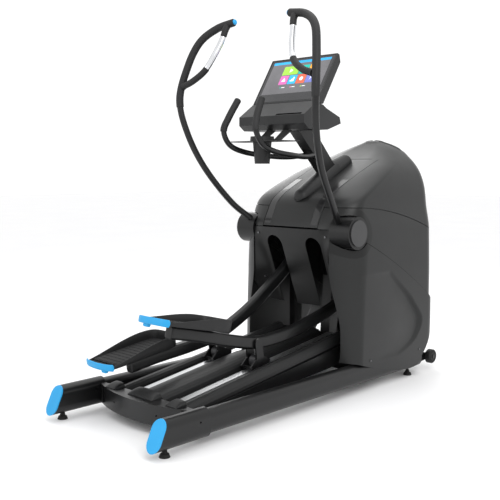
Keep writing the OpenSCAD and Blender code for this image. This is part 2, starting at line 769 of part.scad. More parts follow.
mast_foot = [1640, 842];
mast_knee = [1572, 1146];
mast_top = [1345, 1390];
module console_mast() {
    color("#2a2c2e") place() difference() {
        union() {
            slab(-34, 34, [
                [mast_foot[0] - 36, 878.1], [mast_foot[0] + 44, 878.1], [mast_knee[0] + 50, mast_knee[1] + 20],
                [mast_top[0] + 60, mast_top[1]], [mast_top[0] - 44, mast_top[1] - 34],
                [mast_knee[0] - 40, mast_knee[1] - 10]
            ]);
            translate([-60, mast_foot[0] - 70, 878.1]) cube([120, 116, 10]);
        }
        slab(-30, 30, [
            [mast_foot[0] - 32, 900], [mast_foot[0] + 40, 900], [mast_knee[0] + 46, mast_knee[1] + 18],
            [mast_top[0] + 54, mast_top[1] - 6], [mast_top[0] - 38, mast_top[1] - 34],
            [mast_knee[0] - 36, mast_knee[1] - 8]
        ]);
    }
}

module boot_shape(d) {
    hull() for (q = [[1372, 1010, 48], [1500, 1072, 58], [1640, 1150, 58], [1740, 1196, 44]])
        translate([0, q[0], q[1]]) sphere(r = q[2] - d, $fn = hull_fn);
}
module mast_boot() {
    color("#323436") place() moulding() difference() {
        boot_shape(0);
        boot_shape(4);
        envelope(1);
        slab(-36, 36, [
            [mast_foot[0] - 38, 878], [mast_foot[0] + 46, 878], [mast_knee[0] + 52, mast_knee[1] + 22],
            [mast_top[0] + 62, mast_top[1]], [mast_top[0] - 46, mast_top[1] - 36],
            [mast_knee[0] - 42, mast_knee[1] - 12]
        ]);
    }
}

module on_screen() { translate([0, screen_y, screen_z]) rotate([-screen_lean, 0, 0]) children(); }
module console_housing() {
    half = console_w / 2;
    color("#2b2c2e") place() on_screen() difference() {
        slab(-half, half, [
            [0, 2], [0, screen_h], [16, screen_h + 4], [screen_t, screen_h - 24], [screen_t, 10], [30, 2]
        ]);
        translate([-half + 8, -1, 12]) cube([console_w - 16, 6, screen_h - 20]);
        translate([-half + 6, 8, 20]) cube([console_w - 12, screen_t - 12, screen_h - 60]);
        translate([-40, 4, 60]) cube([80, 5, 40]);
    }
}
module console_screen() {
    color("#101214") place() on_screen()
        translate([-console_w / 2 + 8.5, 0.5, 12.5]) cube([console_w - 17, 4.4, screen_h - 21]);
}
module console_base() {
    half = console_w / 2;
    color("#2f3032") place() difference() {
        slab(-half, half, [
            [1112, 1384], [1112, 1428], [screen_y, screen_z], [1244.6, 1483.4], [1262, 1480], [1290, 1464],
            [1400, 1424], [1410, 1392], [1300, 1357], [1150, 1357]
        ]);
        slab(-half + 4, half - 4, [
            [1116, 1388], [1116, 1424], [screen_y + 1, 1494], [1242, 1479], [1260, 1475], [1287, 1459],
            [1396, 1420], [1400, 1396], [1300, 1362], [1152, 1361]
        ]);
        slab(-37, 37, [
            [mast_top[0] + 62, mast_top[1] + 2], [mast_top[0] - 46, mast_top[1] - 32],
            [mast_knee[0] - 42, mast_knee[1] - 12], [mast_knee[0] + 52, mast_knee[1] + 22]
        ]);
        translate([30, 1100, 1440]) rotate([-34, 0, 0]) cube([170, 110, 12]);
    }
}

cup_top = 1294;
module accessory_tray() {
    color("#232426") place() difference() {
        union() {
            translate([-190, 980, cup_top]) cube([380, 140, 4]);
            translate([0, 1050, cup_top + 3.9]) cylinder(r1 = 62, r2 = 60, h = 20);
            both() slab(52, 60, [[1070, cup_top + 3.9], [1120, cup_top + 3.9], [1215, 1356.8], [1150, 1356.8]]);
        }
        translate([0, 1050, cup_top - 1]) cylinder(r = 50, h = 40);
    }
}
module cup_holder() {
    color("#1c1d1e") place() translate([0, 1050, 0]) difference() {
        union() {
            translate([0, 0, 1184]) cylinder(r1 = 38, r2 = 49.6, h = cup_top + 16 - 1184);
            translate([0, 0, cup_top + 24.1]) cylinder(r = 60, h = 3);
            translate([0, 0, cup_top + 10]) cylinder(r = 49.6, h = 16);
        }
        translate([0, 0, 1188]) cylinder(r1 = 35, r2 = 46.6, h = cup_top + 8 - 1188);
        translate([0, 0, cup_top]) cylinder(r = 46.6, h = 40);
    }
}

fixed_path = smooth(fixed_line, 3);
module fixed_handlebar() {
    color("#232426") place() {
        both() difference() {
            tube(fixed_path, round_profile(14, 12), round_profile(11, 12), [1, 0.2, 0]);
            translate([-66, 1300, 1150]) cube([100.2, 200, 200]);
        }
    }
}
module fixed_handle_grips() {
    color("#17181a") place() both()
        tube(fixed_path, round_profile(17.5, 12), round_profile(14.4, 12), [1, 0.2, 0], 15);
}

// ---------------------------------------------------------------- housing

corner_steps = 5;
function half_outline(z, d) =
    let (w = lookup(z, housing_w) - d, rear = lookup(z, housing_rear) + d, front = lookup(z, housing_front) - d,
         deep = lookup(z, housing_corner), side = min(w * 0.55, 0.42 * w + 0.25 * deep),
         nose = min(90, (front - rear) * 0.35, w * 0.6))
    concat(
        [[(w - side) / 2, rear]],
        [for (k = [0 : corner_steps]) let (a = 90 * k / corner_steps)
            [w - side + side * sin(a), rear + deep - deep * cos(a)]],
        [[w + 1, (rear + deep + front - nose) / 2]],
        [for (k = [0 : corner_steps]) let (a = 90 * k / corner_steps)
            [w - nose + nose * cos(a), front - nose + nose * sin(a)]],
        [[0.5 * (w - nose), front]]
    );
function outline(z, d) =
    let (h = half_outline(z, d))
    concat([for (q = h) [q[0], q[1], z]], [for (i = [len(h) - 1 : -1 : 0]) [-h[i][0], h[i][1], z]]);
module envelope(d, levels = len(housing_levels)) {
    skin([for (i = [0 : levels - 1]) outline(housing_levels[i], d)]);
}
function seam_at(seam, y) = seam[1] + seam[2] * (y - seam[0]);
module above(seam, lift = 0) {
    slab(-600, 600, [
        [1100, seam_at(seam, 1100) + lift], [2200, seam_at(seam, 2200) + lift], [2200, 1500], [1100, 1500]
    ]);
}
module hood_shell() {
    difference() {
        envelope(0);
        translate([0, 0, -3]) envelope(cover_wall, len(housing_levels) - 3);
    }
}
module skirt_cut() { slab(-600, 600, concat(skirt_line, [[2130, 0], [1180, 0]])); }
module shroud_zone(d) { translate([-190 - d, 1100, 851 - d]) cube([380 + 2 * d, 700 + d, 500]); }
module nose_zone(d) { translate([-330 - d, 2010 - d, 0]) cube([660 + 2 * d, 200, 1400]); }
module hub_hole() { rod(-500, 500, hub_y, hub_z, hub_r + 6); }
// The space of the recessed rear panel and of everything that passes through it
module rear_zone() {
    translate([-262, 1100, 0]) cube([524, 700, 856]);
    translate([-290, 1100, 0]) cube([580, 700, 420]);
}

module side_cover(side) {
    color("#37393b") place() moulding() one_side(side) difference() {
        hood_shell();
        translate([-600, 1000, 0]) cube([600, 1300, 1500]);
        above(upper_seam, -0.5);
        difference() {
            translate([-600, 1000, -10]) cube([1200, 1300, 1500]);
            above(lower_seam, 0.5);
        }
        rear_zone();
        nose_zone(0.5);
        shroud_zone(0.5);
        hub_hole();
    }
}
module left_side_cover() { side_cover(-1); }
module right_side_cover() { side_cover(1); }

module lower_panel(side) {
    color("#343638") place() moulding() one_side(side) difference() {
        envelope(-7);
        envelope(-3);
        translate([-600, 1000, 0]) cube([600, 1300, 1500]);
        above(lower_seam, -0.5);
        rear_zone();
        nose_zone(0.5);
        skirt_cut();
        hub_hole();
        translate([-262, 1100, 800]) cube([524, 400, 200]);
        for (q = panel_screws) rod(380, 420, q[0], q[1], 5.3, $fn = 16);
    }
}
module left_lower_panel() { lower_panel(-1); }
module right_lower_panel() { lower_panel(1); }

module upper_shroud() {
    color("#2c2e30") place() moulding() difference() {
        intersection() {
            hood_shell();
            shroud_zone(0);
        }
        boot_shape(-1);
    }
}

module front_cover() {
    color("#3b3d3f") place() moulding() difference() {
        intersection() {
            hood_shell();
            union() {
                above(upper_seam, 0.5);
                nose_zone(0);
            }
        }
        shroud_zone(1);
        hub_hole();
        skirt_cut();
        rear_zone();
        boot_shape(-1);
    }
}

// Screws of the rear panel, [across, up], and of a lower panel, [forward, up]
fascia_screws = [[233, 809], [238, 560]];
panel_screws = [[1450, 160], [1925, 145]];

// Edge of the ramp's mouth in the sides of the rear panel, [forward, up]
mouth_line = [[1100, 545], [1289, 535], [1350, 462], [1400, 426], [1462, 404], [1600, 404], [1600, 60], [1100, 60]];

// Depth of the rear panel: a leaning plane whose sides sweep back to the covers
function panel_y(x, z) =
    let (flat_y = 1262 + max(0, 845 - z) * 0.4 - (z < 330 ? (330 - z) * 0.4 : 0),
         t = min(1, max(0, (abs(x) - 200) / 62)))
    flat_y + (1268 - flat_y) * t * t;
panel_x = [-261, -240, -220, -200, -130, 0, 130, 200, 220, 240, 261];
panel_z = [for (z = [110 : 49 : 845]) z];
module panel_sheet() {
    n = len(panel_x);
    m = len(panel_z);
    points = concat(
        [for (z = panel_z) for (x = panel_x) [x, panel_y(x, z), z]],
        [for (z = panel_z) for (x = panel_x) [x, panel_y(x, z) + 5, z]]
    );
    back = n * m;
    polyhedron(points, concat(
        [for (j = [0 : m - 2]) for (i = [0 : n - 2])
            let (a = j * n + i) each [[a, a + n, a + 1], [a + 1, a + n, a + n + 1]]],
        [for (j = [0 : m - 2]) for (i = [0 : n - 2])
            let (a = back + j * n + i) each [[a, a + 1, a + n], [a + 1, a + n + 1, a + n]]],
        [for (i = [0 : n - 2]) each [[i, i + 1, back + i], [i + 1, back + i + 1, back + i]]],
        [for (i = [0 : n - 2]) let (a = (m - 1) * n + i)
            each [[a, back + a, a + 1], [a + 1, back + a, back + a + 1]]],
        [for (j = [0 : m - 2]) let (a = j * n) each [[a, back + a, a + n], [a + n, back + a, back + a + n]]],
        [for (j = [0 : m - 2]) let (a = j * n + n - 1)
            each [[a, a + n, back + a], [a + n, back + a + n, back + a]]]
    ));
}
module slotted_fascia() {
    color("#303234") place() moulding() difference() {
        panel_sheet();
        for (x = [-arm_x, arm_x]) hull() for (z = [372, 748]) translate([x, 1200, z]) rotate([-90, 0, 0])
            cylinder(d = slot_w, h = 400, $fn = hull_fn);
        slab(-300, 300, mouth_line);
        translate([-282, 1200, 100]) cube([564, 300, 246]);
        for (q = fascia_screws) for (x = [-q[0], q[0]]) translate([x, 1200, q[1]]) rotate([-90, 0, 0])
            cylinder(r = 5.3, h = 400, $fn = 16);
    }
}

module cover_screws() {
    color("#8d9194") place() both() {
        for (q = fascia_screws) translate([q[0], panel_y(q[0], q[1]) - 3, q[1]]) rotate([-90, 0, 0])
            cylinder(r = 5, h = 14);
        for (q = panel_screws) rod(398, 406.8, q[0], q[1], 5);
    }
}

left_base_rail();
right_base_rail();
rail_end_caps();
levelling_feet();
rear_crossmember();
ramp_hinge_covers();
front_crossmember();
left_transport_wheel();
right_transport_wheel();
ramp_frame();
ramp_covers();
guide_tracks();
left_carriage();
right_carriage();
left_roller();
right_roller();
left_pedal_arm();
right_pedal_arm();
left_pedal();
right_pedal();
left_pedal_pad();
right_pedal_pad();
left_pedal_bumper();
right_pedal_bumper();
left_handlebar();
right_handlebar();
left_handle_grip();
right_handle_grip();
left_pulse_contact();
right_pulse_contact();
left_handle_hub();
right_handle_hub();
left_thumb_switch();
right_thumb_switch();
crank_set();
flywheel();
idler_pulley();
drive_belt();
resistance_brake();
lift_actuator();
power_inlet();
drive_frame();
console_mast();
mast_boot();
console_housing();
console_screen();
console_base();
accessory_tray();
cup_holder();
fixed_handlebar();
fixed_handle_grips();
left_side_cover();
right_side_cover();
left_lower_panel();
right_lower_panel();
upper_shroud();
front_cover();
slotted_fascia();
cover_screws();
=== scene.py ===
"""Visual model of an elliptical trainer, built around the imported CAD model."""

import json
import math

import bmesh
import bpy
import numpy as np
from mathutils import Matrix, Vector


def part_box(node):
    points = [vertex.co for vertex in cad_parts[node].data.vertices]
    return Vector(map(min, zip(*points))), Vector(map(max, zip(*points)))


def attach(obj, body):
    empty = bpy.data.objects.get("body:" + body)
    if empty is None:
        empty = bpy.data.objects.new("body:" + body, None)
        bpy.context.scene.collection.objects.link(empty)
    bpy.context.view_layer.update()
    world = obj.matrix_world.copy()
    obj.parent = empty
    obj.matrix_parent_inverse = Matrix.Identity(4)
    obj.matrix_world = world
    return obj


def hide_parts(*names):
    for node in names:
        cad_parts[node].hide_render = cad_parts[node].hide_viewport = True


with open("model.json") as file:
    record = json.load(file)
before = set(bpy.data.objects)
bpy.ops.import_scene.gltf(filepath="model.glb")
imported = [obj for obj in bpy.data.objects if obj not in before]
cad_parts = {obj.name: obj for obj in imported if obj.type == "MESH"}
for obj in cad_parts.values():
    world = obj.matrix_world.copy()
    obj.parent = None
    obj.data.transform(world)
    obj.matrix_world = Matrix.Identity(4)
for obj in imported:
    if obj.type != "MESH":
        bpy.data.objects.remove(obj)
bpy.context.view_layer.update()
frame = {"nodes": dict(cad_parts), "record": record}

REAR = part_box("rail_end_caps")[0].y
MM = 0.001


def place(x, y, z):
    """Row-frame point, in metres, from millimetres measured forward of the rear caps."""
    return Vector((x * MM, y * MM + REAR, z * MM))


HUB_LOW, HUB_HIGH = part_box("right_handle_hub")
HUB_RADIUS = 0.084
HUB_Y = HUB_LOW.y + HUB_RADIUS - REAR
HUB_Z = HUB_HIGH.z - HUB_RADIUS
SIDES = {1: "right", -1: "left"}


def show(item):
    bpy.context.scene.collection.objects.link(item)


def turns(count):
    """Angles of a full circle in count equal steps."""
    return [2 * math.pi * k / count for k in range(count)]


def eased(t):
    """Share from 0 to 1 that starts and ends gently."""
    t = np.clip(t, 0, 1)
    return t * t * (3 - 2 * t)


# ------------ camera and light

def aimed(name, data, where, toward):
    """Camera or light at one point, turned towards another."""
    item = bpy.data.objects.new(name, data)
    item.location = where
    aim = Vector(toward) - Vector(where)
    item.rotation_euler = aim.to_track_quat("-Z", "Y").to_euler()
    show(item)
    return item


def make_camera():
    data = bpy.data.cameras.new("photo_view")
    data.sensor_width = 36.0
    data.lens = 57.47
    camera = aimed("photo_view", data, (2.763, -3.009, 1.155), (0.0, -0.096, 0.750))
    bpy.context.scene.camera = camera


def area_light(name, where, toward, size, power):
    data = bpy.data.lights.new(name, "AREA")
    data.shape = "RECTANGLE"
    data.size, data.size_y = size
    data.energy = power
    aimed(name, data, where, toward)


def make_studio():
    bpy.context.scene.view_settings.view_transform = "Standard"
    world = bpy.data.worlds.new("studio")
    world.use_nodes = True
    sky = world.node_tree.nodes["Background"].inputs
    sky["Color"].default_value = (1, 1, 1, 1)
    sky["Strength"].default_value = 1.12
    bpy.context.scene.world = world
    area_light("key", (3.2, -1.6, 3.6), (0, 0, 0.9), (2.4, 2.4), 70)
    area_light("top", (0.0, 0.4, 4.2), (0, 0, 0.8), (3.0, 3.0), 40)
    area_light("rear_fill", (-1.4, -3.8, 2.2), (0, 0, 0.8), (2.0, 2.4), 20)
    area_light("front_fill", (-2.6, 3.2, 2.6), (0, 0.4, 0.8), (2.0, 2.4), 35)
    mesh = bpy.data.meshes.new("floor")
    reach = 30.0
    mesh.from_pydata([(-reach, -reach, 0), (reach, -reach, 0), (reach, reach, 0),
                      (-reach, reach, 0)], [], [(0, 1, 2, 3)])
    floor = bpy.data.objects.new("floor", mesh)
    show(floor)
    floor.data.materials.append(floor_material())


# ------------ materials

class Nodes:
    """Small helper that wires one Principled material."""

    def __init__(self, name):
        self.material = bpy.data.materials.new(name)
        self.material.use_nodes = True
        self.tree = self.material.node_tree
        self.shader = self.tree.nodes["Principled BSDF"]
        self.coords = self.add("ShaderNodeTexCoord").outputs["Object"]

    def add(self, kind, **settings):
        node = self.tree.nodes.new(kind)
        for key, value in settings.items():
            setattr(node, key, value)
        return node

    def fill(self, node, **values):
        for key, value in values.items():
            node.inputs[key.replace("_", " ")].default_value = value

    def link(self, out, socket):
        self.tree.links.new(out, socket)

    def noise(self, scale, detail=3.0, stretch=None):
        node = self.add("ShaderNodeTexNoise")
        self.fill(node, Scale=scale, Detail=detail)
        source = self.coords
        if stretch:
            mapping = self.add("ShaderNodeMapping")
            self.fill(mapping, Scale=stretch)
            self.link(source, mapping.inputs["Vector"])
            source = mapping.outputs["Vector"]
        self.link(source, node.inputs["Vector"])
        return node.outputs["Fac"]

    def ramp(self, factor, stops):
        node = self.add("ShaderNodeValToRGB")
        while len(node.color_ramp.elements) < len(stops):
            node.color_ramp.elements.new(0.5)
        for element, (at, colour) in zip(node.color_ramp.elements, stops):
            element.position = at
            element.color = (*colour, 1)
        self.link(factor, node.inputs["Fac"])
        return node.outputs["Color"]

    def parts(self):
        """X, Y and Z of the object's own coordinates."""
        node = self.add("ShaderNodeSeparateXYZ")
        self.link(self.coords, node.inputs["Vector"])
        return node.outputs

    def maths(self, operation, first, second=None):
        """Result of a Math node; each value is an output or a number."""
        node = self.add("ShaderNodeMath", operation=operation)
        for socket, value in zip(node.inputs, (first, second)):
            if isinstance(value, float):
                socket.default_value = value
            elif value is not None:
                self.link(value, socket)
        return node.outputs[0]

    def mix(self, factor, low, high):
        """Colour low where factor is 0, high where it is 1."""
        node = self.add("ShaderNodeMix", data_type="RGBA")
        self.link(factor, node.inputs["Factor"])
        colours = [socket for socket in node.inputs if socket.type == "RGBA"]
        self.link(low, colours[0])
        self.link(high, colours[1])
        return next(socket for socket in node.outputs if socket.type == "RGBA")

    def spread(self, factor, low, high):
        node = self.add("ShaderNodeMapRange")
        self.fill(node, To_Min=low, To_Max=high)
        self.link(factor, node.inputs["Value"])
        return node.outputs["Result"]

    def bump(self, height, depth, strength=1.0, below=None):
        node = self.add("ShaderNodeBump")
        self.fill(node, Distance=depth, Strength=strength)
        self.link(height, node.inputs["Height"])
        if below:
            self.link(below, node.inputs["Normal"])
        return node.outputs["Normal"]

    def finish(self, colour, rough, normal=None, metallic=0.0, **extra):
        self.link(colour, self.shader.inputs["Base Color"])
        self.link(rough, self.shader.inputs["Roughness"])
        if normal is not None:
            self.link(normal, self.shader.inputs["Normal"])
        self.fill(self.shader, Metallic=metallic, Specular_IOR_Level=0.34, **extra)
        return self.material


def shade(colour, factor):
    return tuple(min(1.0, part * factor) for part in colour)


def moulded(name, colour, rough, grain=900.0, depth=0.00012, spread=0.12, coat=0.0):
    """Moulded or painted skin: fine grain, soft cloudiness and slightly uneven gloss."""
    n = Nodes(name)
    cloud = n.noise(5.0, 4.0)
    fine = n.noise(grain, 2.0)
    tone = n.ramp(cloud, [(0.3, shade(colour, 1 - spread)), (0.7, shade(colour, 1 + spread))])
    gloss = n.spread(n.noise(14.0, 5.0), rough - 0.06, rough + 0.07)
    normal = n.bump(fine, depth, 0.5)
    return n.finish(tone, gloss, normal, Coat_Weight=coat)


def brushed(name, colour, rough, stretch=(4, 260, 260)):
    """Metal with drawn or turned lines along one axis."""
    n = Nodes(name)
    lines = n.noise(6.0, 4.0, stretch)
    cloud = n.noise(7.0, 3.0)
    tone = n.ramp(cloud, [(0.3, shade(colour, 0.9)), (0.7, shade(colour, 1.05))])
    gloss = n.spread(lines, rough - 0.08, rough + 0.1)
    return n.finish(tone, gloss, n.bump(lines, 0.00012, 0.35), 1.0)


def rubber(name, colour, rough=0.7, grain=420.0, ribs=None):
    """Soft rubber: pebbled grain, dusty lighter patches, and ribs where asked."""
    n = Nodes(name)
    dust = n.noise(9.0, 6.0)
    pebble = n.add("ShaderNodeTexVoronoi")
    n.fill(pebble, Scale=grain)
    n.link(n.coords, pebble.inputs["Vector"])
    tone = n.ramp(dust, [(0.35, shade(colour, 0.85)), (0.75, shade(colour, 1.35))])
    gloss = n.spread(dust, rough - 0.05, rough + 0.12)
    normal = n.bump(pebble.outputs["Distance"], 0.0004, 0.35)
    if ribs:
        wave = n.add("ShaderNodeTexWave", wave_type="BANDS", bands_direction=ribs[0])
        n.fill(wave, Scale=ribs[1])
        n.link(n.coords, wave.inputs["Vector"])
        normal = n.bump(wave.outputs["Fac"], 0.0012, 0.6, normal)
    return n.finish(tone, gloss, normal)


def floor_material():
    n = Nodes("studio_floor")
    tone = n.ramp(n.noise(1.2, 2.0), [(0.3, (0.86, 0.86, 0.87)), (0.7, (0.88, 0.88, 0.88))])
    return n.finish(tone, n.spread(n.noise(30.0), 0.5, 0.6))


def glass_material():
    n = Nodes("display_glass")
    smudge = n.noise(11.0, 5.0)
    tone = n.ramp(smudge, [(0.3, (0.012, 0.012, 0.014)), (0.7, (0.02, 0.02, 0.023))])
    return n.finish(tone, n.spread(smudge, 0.06, 0.16), Coat_Weight=0.5)


def glow(name, colour, strength=0.22):
    """Lit area of the display."""
    n = Nodes(name)
    fade = n.noise(8.0, 2.0)
    tone = n.ramp(fade, [(0.3, shade(colour, 0.86)), (0.7, shade(colour, 1.1))])
    n.link(tone, n.shader.inputs["Emission Color"])
    return n.finish(tone, n.spread(n.noise(25.0), 0.2, 0.3), Emission_Strength=strength)


CHARCOAL = (0.0185, 0.019, 0.019)
BLACK = (0.0050, 0.0051, 0.0054)
BLUE = (0.012, 0.30, 0.62)
HUB_RING_RADIUS = 0.129
HUB_RING_START = 0.262
HUB_CAP_START = 0.3892


def cover_material():
    """Satin metallic housing skin, darker inside the ring round each handlebar hub."""
    n = Nodes("charcoal_cover")
    at = n.parts()
    along = n.maths("SUBTRACT", at["Y"], HUB_Y + REAR)
    above = n.maths("SUBTRACT", at["Z"], HUB_Z)
    distance = n.maths("ADD", n.maths("MULTIPLY", along, along), n.maths("MULTIPLY", above, above))
    near = n.maths("LESS_THAN", distance, HUB_RING_RADIUS ** 2)
    outer = n.maths("GREATER_THAN", n.maths("ABSOLUTE", at["X"]), HUB_RING_START)
    cloud = n.noise(4.0, 4.0)
    plain = n.ramp(cloud, [(0.3, shade(CHARCOAL, 0.92)), (0.7, shade(CHARCOAL, 1.08))])
    dark = n.ramp(cloud, [(0.3, shade(CHARCOAL, 0.50)), (0.7, shade(CHARCOAL, 0.58))])
    tone = n.mix(n.maths("MULTIPLY", near, outer), plain, dark)
    flake = n.noise(1500.0, 2.0)
    gloss = n.spread(n.noise(12.0, 5.0), 0.32, 0.42)
    return n.finish(tone, gloss, n.bump(flake, 0.00006, 0.5), 0.25)


def hub_material():
    """Dark barrel with a lighter end disc, told apart by distance from the middle plane."""
    n = Nodes("hub_plastic")
    cap = n.maths("GREATER_THAN", n.maths("ABSOLUTE", n.parts()["X"]), HUB_CAP_START)
    cloud = n.noise(6.0)
    dark = n.ramp(cloud, [(0.3, (0.0042, 0.0042, 0.0045)), (0.7, (0.0058, 0.0058, 0.006))])
    light = n.ramp(cloud, [(0.3, (0.036, 0.036, 0.037)), (0.7, (0.044, 0.044, 0.045))])
    gloss = n.spread(n.noise(12.0, 4.0), 0.3, 0.42)
    return n.finish(n.mix(cap, dark, light), gloss, n.bump(n.noise(800.0, 2.0), 0.0001, 0.5))


def make_materials():
    """Materials by slot, and three more that no CAD slot has: hub, the near-black painted seam
    shadow, and gloss.
    """
    return {
        "frame_black": moulded("powder_coat", BLACK, 0.34, 1100, 0.00010, coat=0.08),
        "accent_blue": moulded("blue_moulding", BLUE, 0.38, 700, 0.00008, spread=0.05),
        "foot_rubber": rubber("foot_rubber", (0.008, 0.008, 0.008), 0.75),
        "tyre_black": rubber("tyre_rubber", (0.008, 0.008, 0.008), 0.6),
        "trim_plastic": moulded("trim_plastic", (0.0105, 0.0107, 0.011), 0.44, 800),
        "roller_grey": moulded("nylon_roller", (0.03, 0.03, 0.032), 0.4, 500),
        "track_aluminium": brushed("anodised_track", (0.74, 0.75, 0.76), 0.3, (200, 3, 200)),
        "pedal_plastic": moulded("pedal_plastic", (0.0085, 0.0086, 0.009), 0.46, 750),
        "pad_rubber": rubber("pad_rubber", (0.0065, 0.0065, 0.007), 0.68, 300, ("X", 26.0)),
        "grip_rubber": rubber("grip_rubber", (0.011, 0.011, 0.0115), 0.55, 900),
        "contact_chrome": brushed("polished_contact", (0.74, 0.75, 0.77), 0.16, (30, 30, 2)),
        "drive_steel": brushed("turned_steel", (0.10, 0.10, 0.105), 0.34),
        "flywheel_iron": brushed("cast_iron", (0.07, 0.07, 0.074), 0.45),
        "belt_rubber": rubber("belt_rubber", (0.02, 0.02, 0.02), 0.6, 260),
        "console_plastic": moulded("console_plastic", (0.016, 0.0165, 0.017), 0.42, 900),
        "screen_glass": glass_material(),
        "cover_charcoal": cover_material(),
        "hub": hub_material(),
        # Painted shadow: near-black for the shade in the gap of the lower seam, between the
        # shoulder and flank panels
        "painted_shade": rubber("seam_shadow_paint", (0.002, 0.002, 0.002), 0.85),
        "gloss": moulded("gloss_trim", (0.004, 0.004, 0.0045), 0.30, 300, 0.00002, coat=0.6),
        "fascia_black": moulded("fascia_plastic", (0.0085, 0.0087, 0.0087), 0.40, 1200),
        "screw_steel": brushed("plated_screw", (0.16, 0.16, 0.165), 0.32),
    }


MATERIALS = make_materials()


# ------------ mesh building

def add_piece(name, solid, body, slot, replaced=(), angle=35.0, material=None):
    """New visible piece with smooth shading broken at edges sharper than angle."""
    verts, faces = solid
    mesh = bpy.data.meshes.new(name)
    mesh.from_pydata([tuple(v) for v in verts], [], faces)
    mesh.validate()
    piece = bpy.data.objects.new(name, mesh)
    show(piece)
    face_outward(mesh)
    soften(mesh, angle)
    mesh.materials.append(material or MATERIALS[slot])
    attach(piece, body)
    if replaced:
        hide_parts(*replaced)
    return piece


def face_outward(mesh):
    work = bmesh.new()
    work.from_mesh(mesh)
    bmesh.ops.recalc_face_normals(work, faces=work.faces)
    work.to_mesh(mesh)
    work.free()


def soften(mesh, angle):
    mesh.polygons.foreach_set("use_smooth", [True] * len(mesh.polygons))
    mesh.set_sharp_from_angle(angle=math.radians(angle))


def bevel(piece, width=0.0012, segments=2, angle=50.0):
    change = piece.modifiers.new("edge", "BEVEL")
    change.width = width
    change.segments = segments
    change.limit_method = "ANGLE"
    change.angle_limit = math.radians(angle)
    change.harden_normals = True


def cubic(a, b, c, d, t):
    return 0.5 * (2 * b + (c - a) * t + (2 * a - 5 * b + 4 * c - d) * t * t
                  + (3 * b - a - 3 * c + d) * t ** 3)


def curve_points(points, steps):
    """Catmull-Rom curve through the points, with steps points for each stretch."""
    p = [np.array(q, float) for q in points]
    p = [2 * p[0] - p[1]] + p + [2 * p[-1] - p[-2]]
    out = []
    for i in range(1, len(p) - 2):
        for j in range(steps):
            out.append(cubic(p[i - 1], p[i], p[i + 1], p[i + 2], j / steps))
    out.append(p[-2])
    return out


def directions(points):
    """Unit direction of the curve at each of its points."""
    out = []
    for i in range(len(points)):
        step = points[min(i + 1, len(points) - 1)] - points[max(i - 1, 0)]
        out.append(step / np.linalg.norm(step))
    return out


def ring_frames(tangents):
    """Side and up directions that turn as little as they can along the curve."""
    guide = np.array([1.0, 0.2, 0.3])
    frames = []
    for tangent in tangents:
        side = np.cross(tangent, guide)
        side = side / np.linalg.norm(side)
        guide = np.cross(side, tangent)
        frames.append((side, guide))
    return frames


def tube_mesh(points, radii, sides=40, round_start=0.0, round_end=0.0):
    """Solid round bar along points; each end is rounded over the length given."""
    if isinstance(radii, float):
        radii = [radii] * len(points)
    tangents = directions(points)
    frames = ring_frames(tangents)

    def ring(centre, radius, k):
        side, up = frames[k]
        return [centre + radius * (side * math.cos(a) + up * math.sin(a)) for a in turns(sides)]

    def rounded(k, way, depth):
        out = []
        for j in range(8):
            turn = math.pi / 2 * j / 7
            centre = points[k] + way * tangents[k] * depth * (1 - math.cos(turn))
            out.append(ring(centre, radii[k] - depth + depth * math.sin(turn), k))
        return out

    rings = rounded(0, 1, round_start) if round_start else [ring(points[0], radii[0], 0)]
    for i in range(1, len(points) - 1):
        from_start = np.linalg.norm(points[i] - points[0])
        from_end = np.linalg.norm(points[i] - points[-1])
        if from_start > round_start * 1.2 and from_end > round_end * 1.2:
            rings.append(ring(points[i], radii[i], i))
    last = len(points) - 1
    if round_end:
        rings += rounded(last, -1, round_end)[::-1]
    else:
        rings.append(ring(points[last], radii[last], last))
    return loft_mesh(rings)


def ring_faces(count, sides):
    """Quads between count closed rings of sides points each."""
    faces = []
    for i in range(count - 1):
        for j in range(sides):
            k = (j + 1) % sides
            faces.append((i * sides + j, i * sides + k, (i + 1) * sides + k, (i + 1) * sides + j))
    return faces


def loft_mesh(rings):
    """Closed solid through rings that all have the same number of points."""
    sides = len(rings[0])
    faces = ring_faces(len(rings), sides)
    faces.append(tuple(range(sides - 1, -1, -1)))
    faces.append(tuple((len(rings) - 1) * sides + j for j in range(sides)))
    return [v for r in rings for v in r], faces


# ------------ handlebars

BAR_LINE = [(306, 1290, 883), (354, 1179, 980), (399, 1029, 1160), (437, 940, 1340),
            (461, 905, 1520), (434, 942, 1700), (388, 986, 1822), (300, 1025, 1886),
            (187, 1040, 1908)]
LOOP_LINE = [(440, 912, 1591), (374, 918, 1613), (303, 938, 1662), (266, 967, 1733),
             (242, 1000, 1810), (231, 1018, 1868), (229, 1034, 1898)]
FIXED_LINE = [(30, 1462, 1236), (60, 1330, 1222), (92, 1200, 1226), (105, 1030, 1244),
              (112, 930, 1278), (110, 885, 1345), (97, 905, 1410), (80, 961, 1507)]
BAR_RADIUS = 0.017
GRIP_RADIUS = 0.020
LOOP_RADIUS = 0.0168
CONTACT_RADIUS = 0.0160
CORE_RADIUS = 0.0146
FIXED_BAR_RADIUS = 0.014
FIXED_GRIP_RADIUS = 0.0175
MAST_HALF_WIDTH = 0.0342
# Steps along the smoothed lines at which one part of a handlebar gives way to the next
GRIP_START = 57
CONTACT_START = 33
CONTACT_END = 67
FIXED_GRIP_START = 75
OVERLAP = 4
SMOOTH_STEPS = 15


def side_curve(line, side):
    return curve_points([place(side * x, y, z) for x, y, z in line], SMOOTH_STEPS)


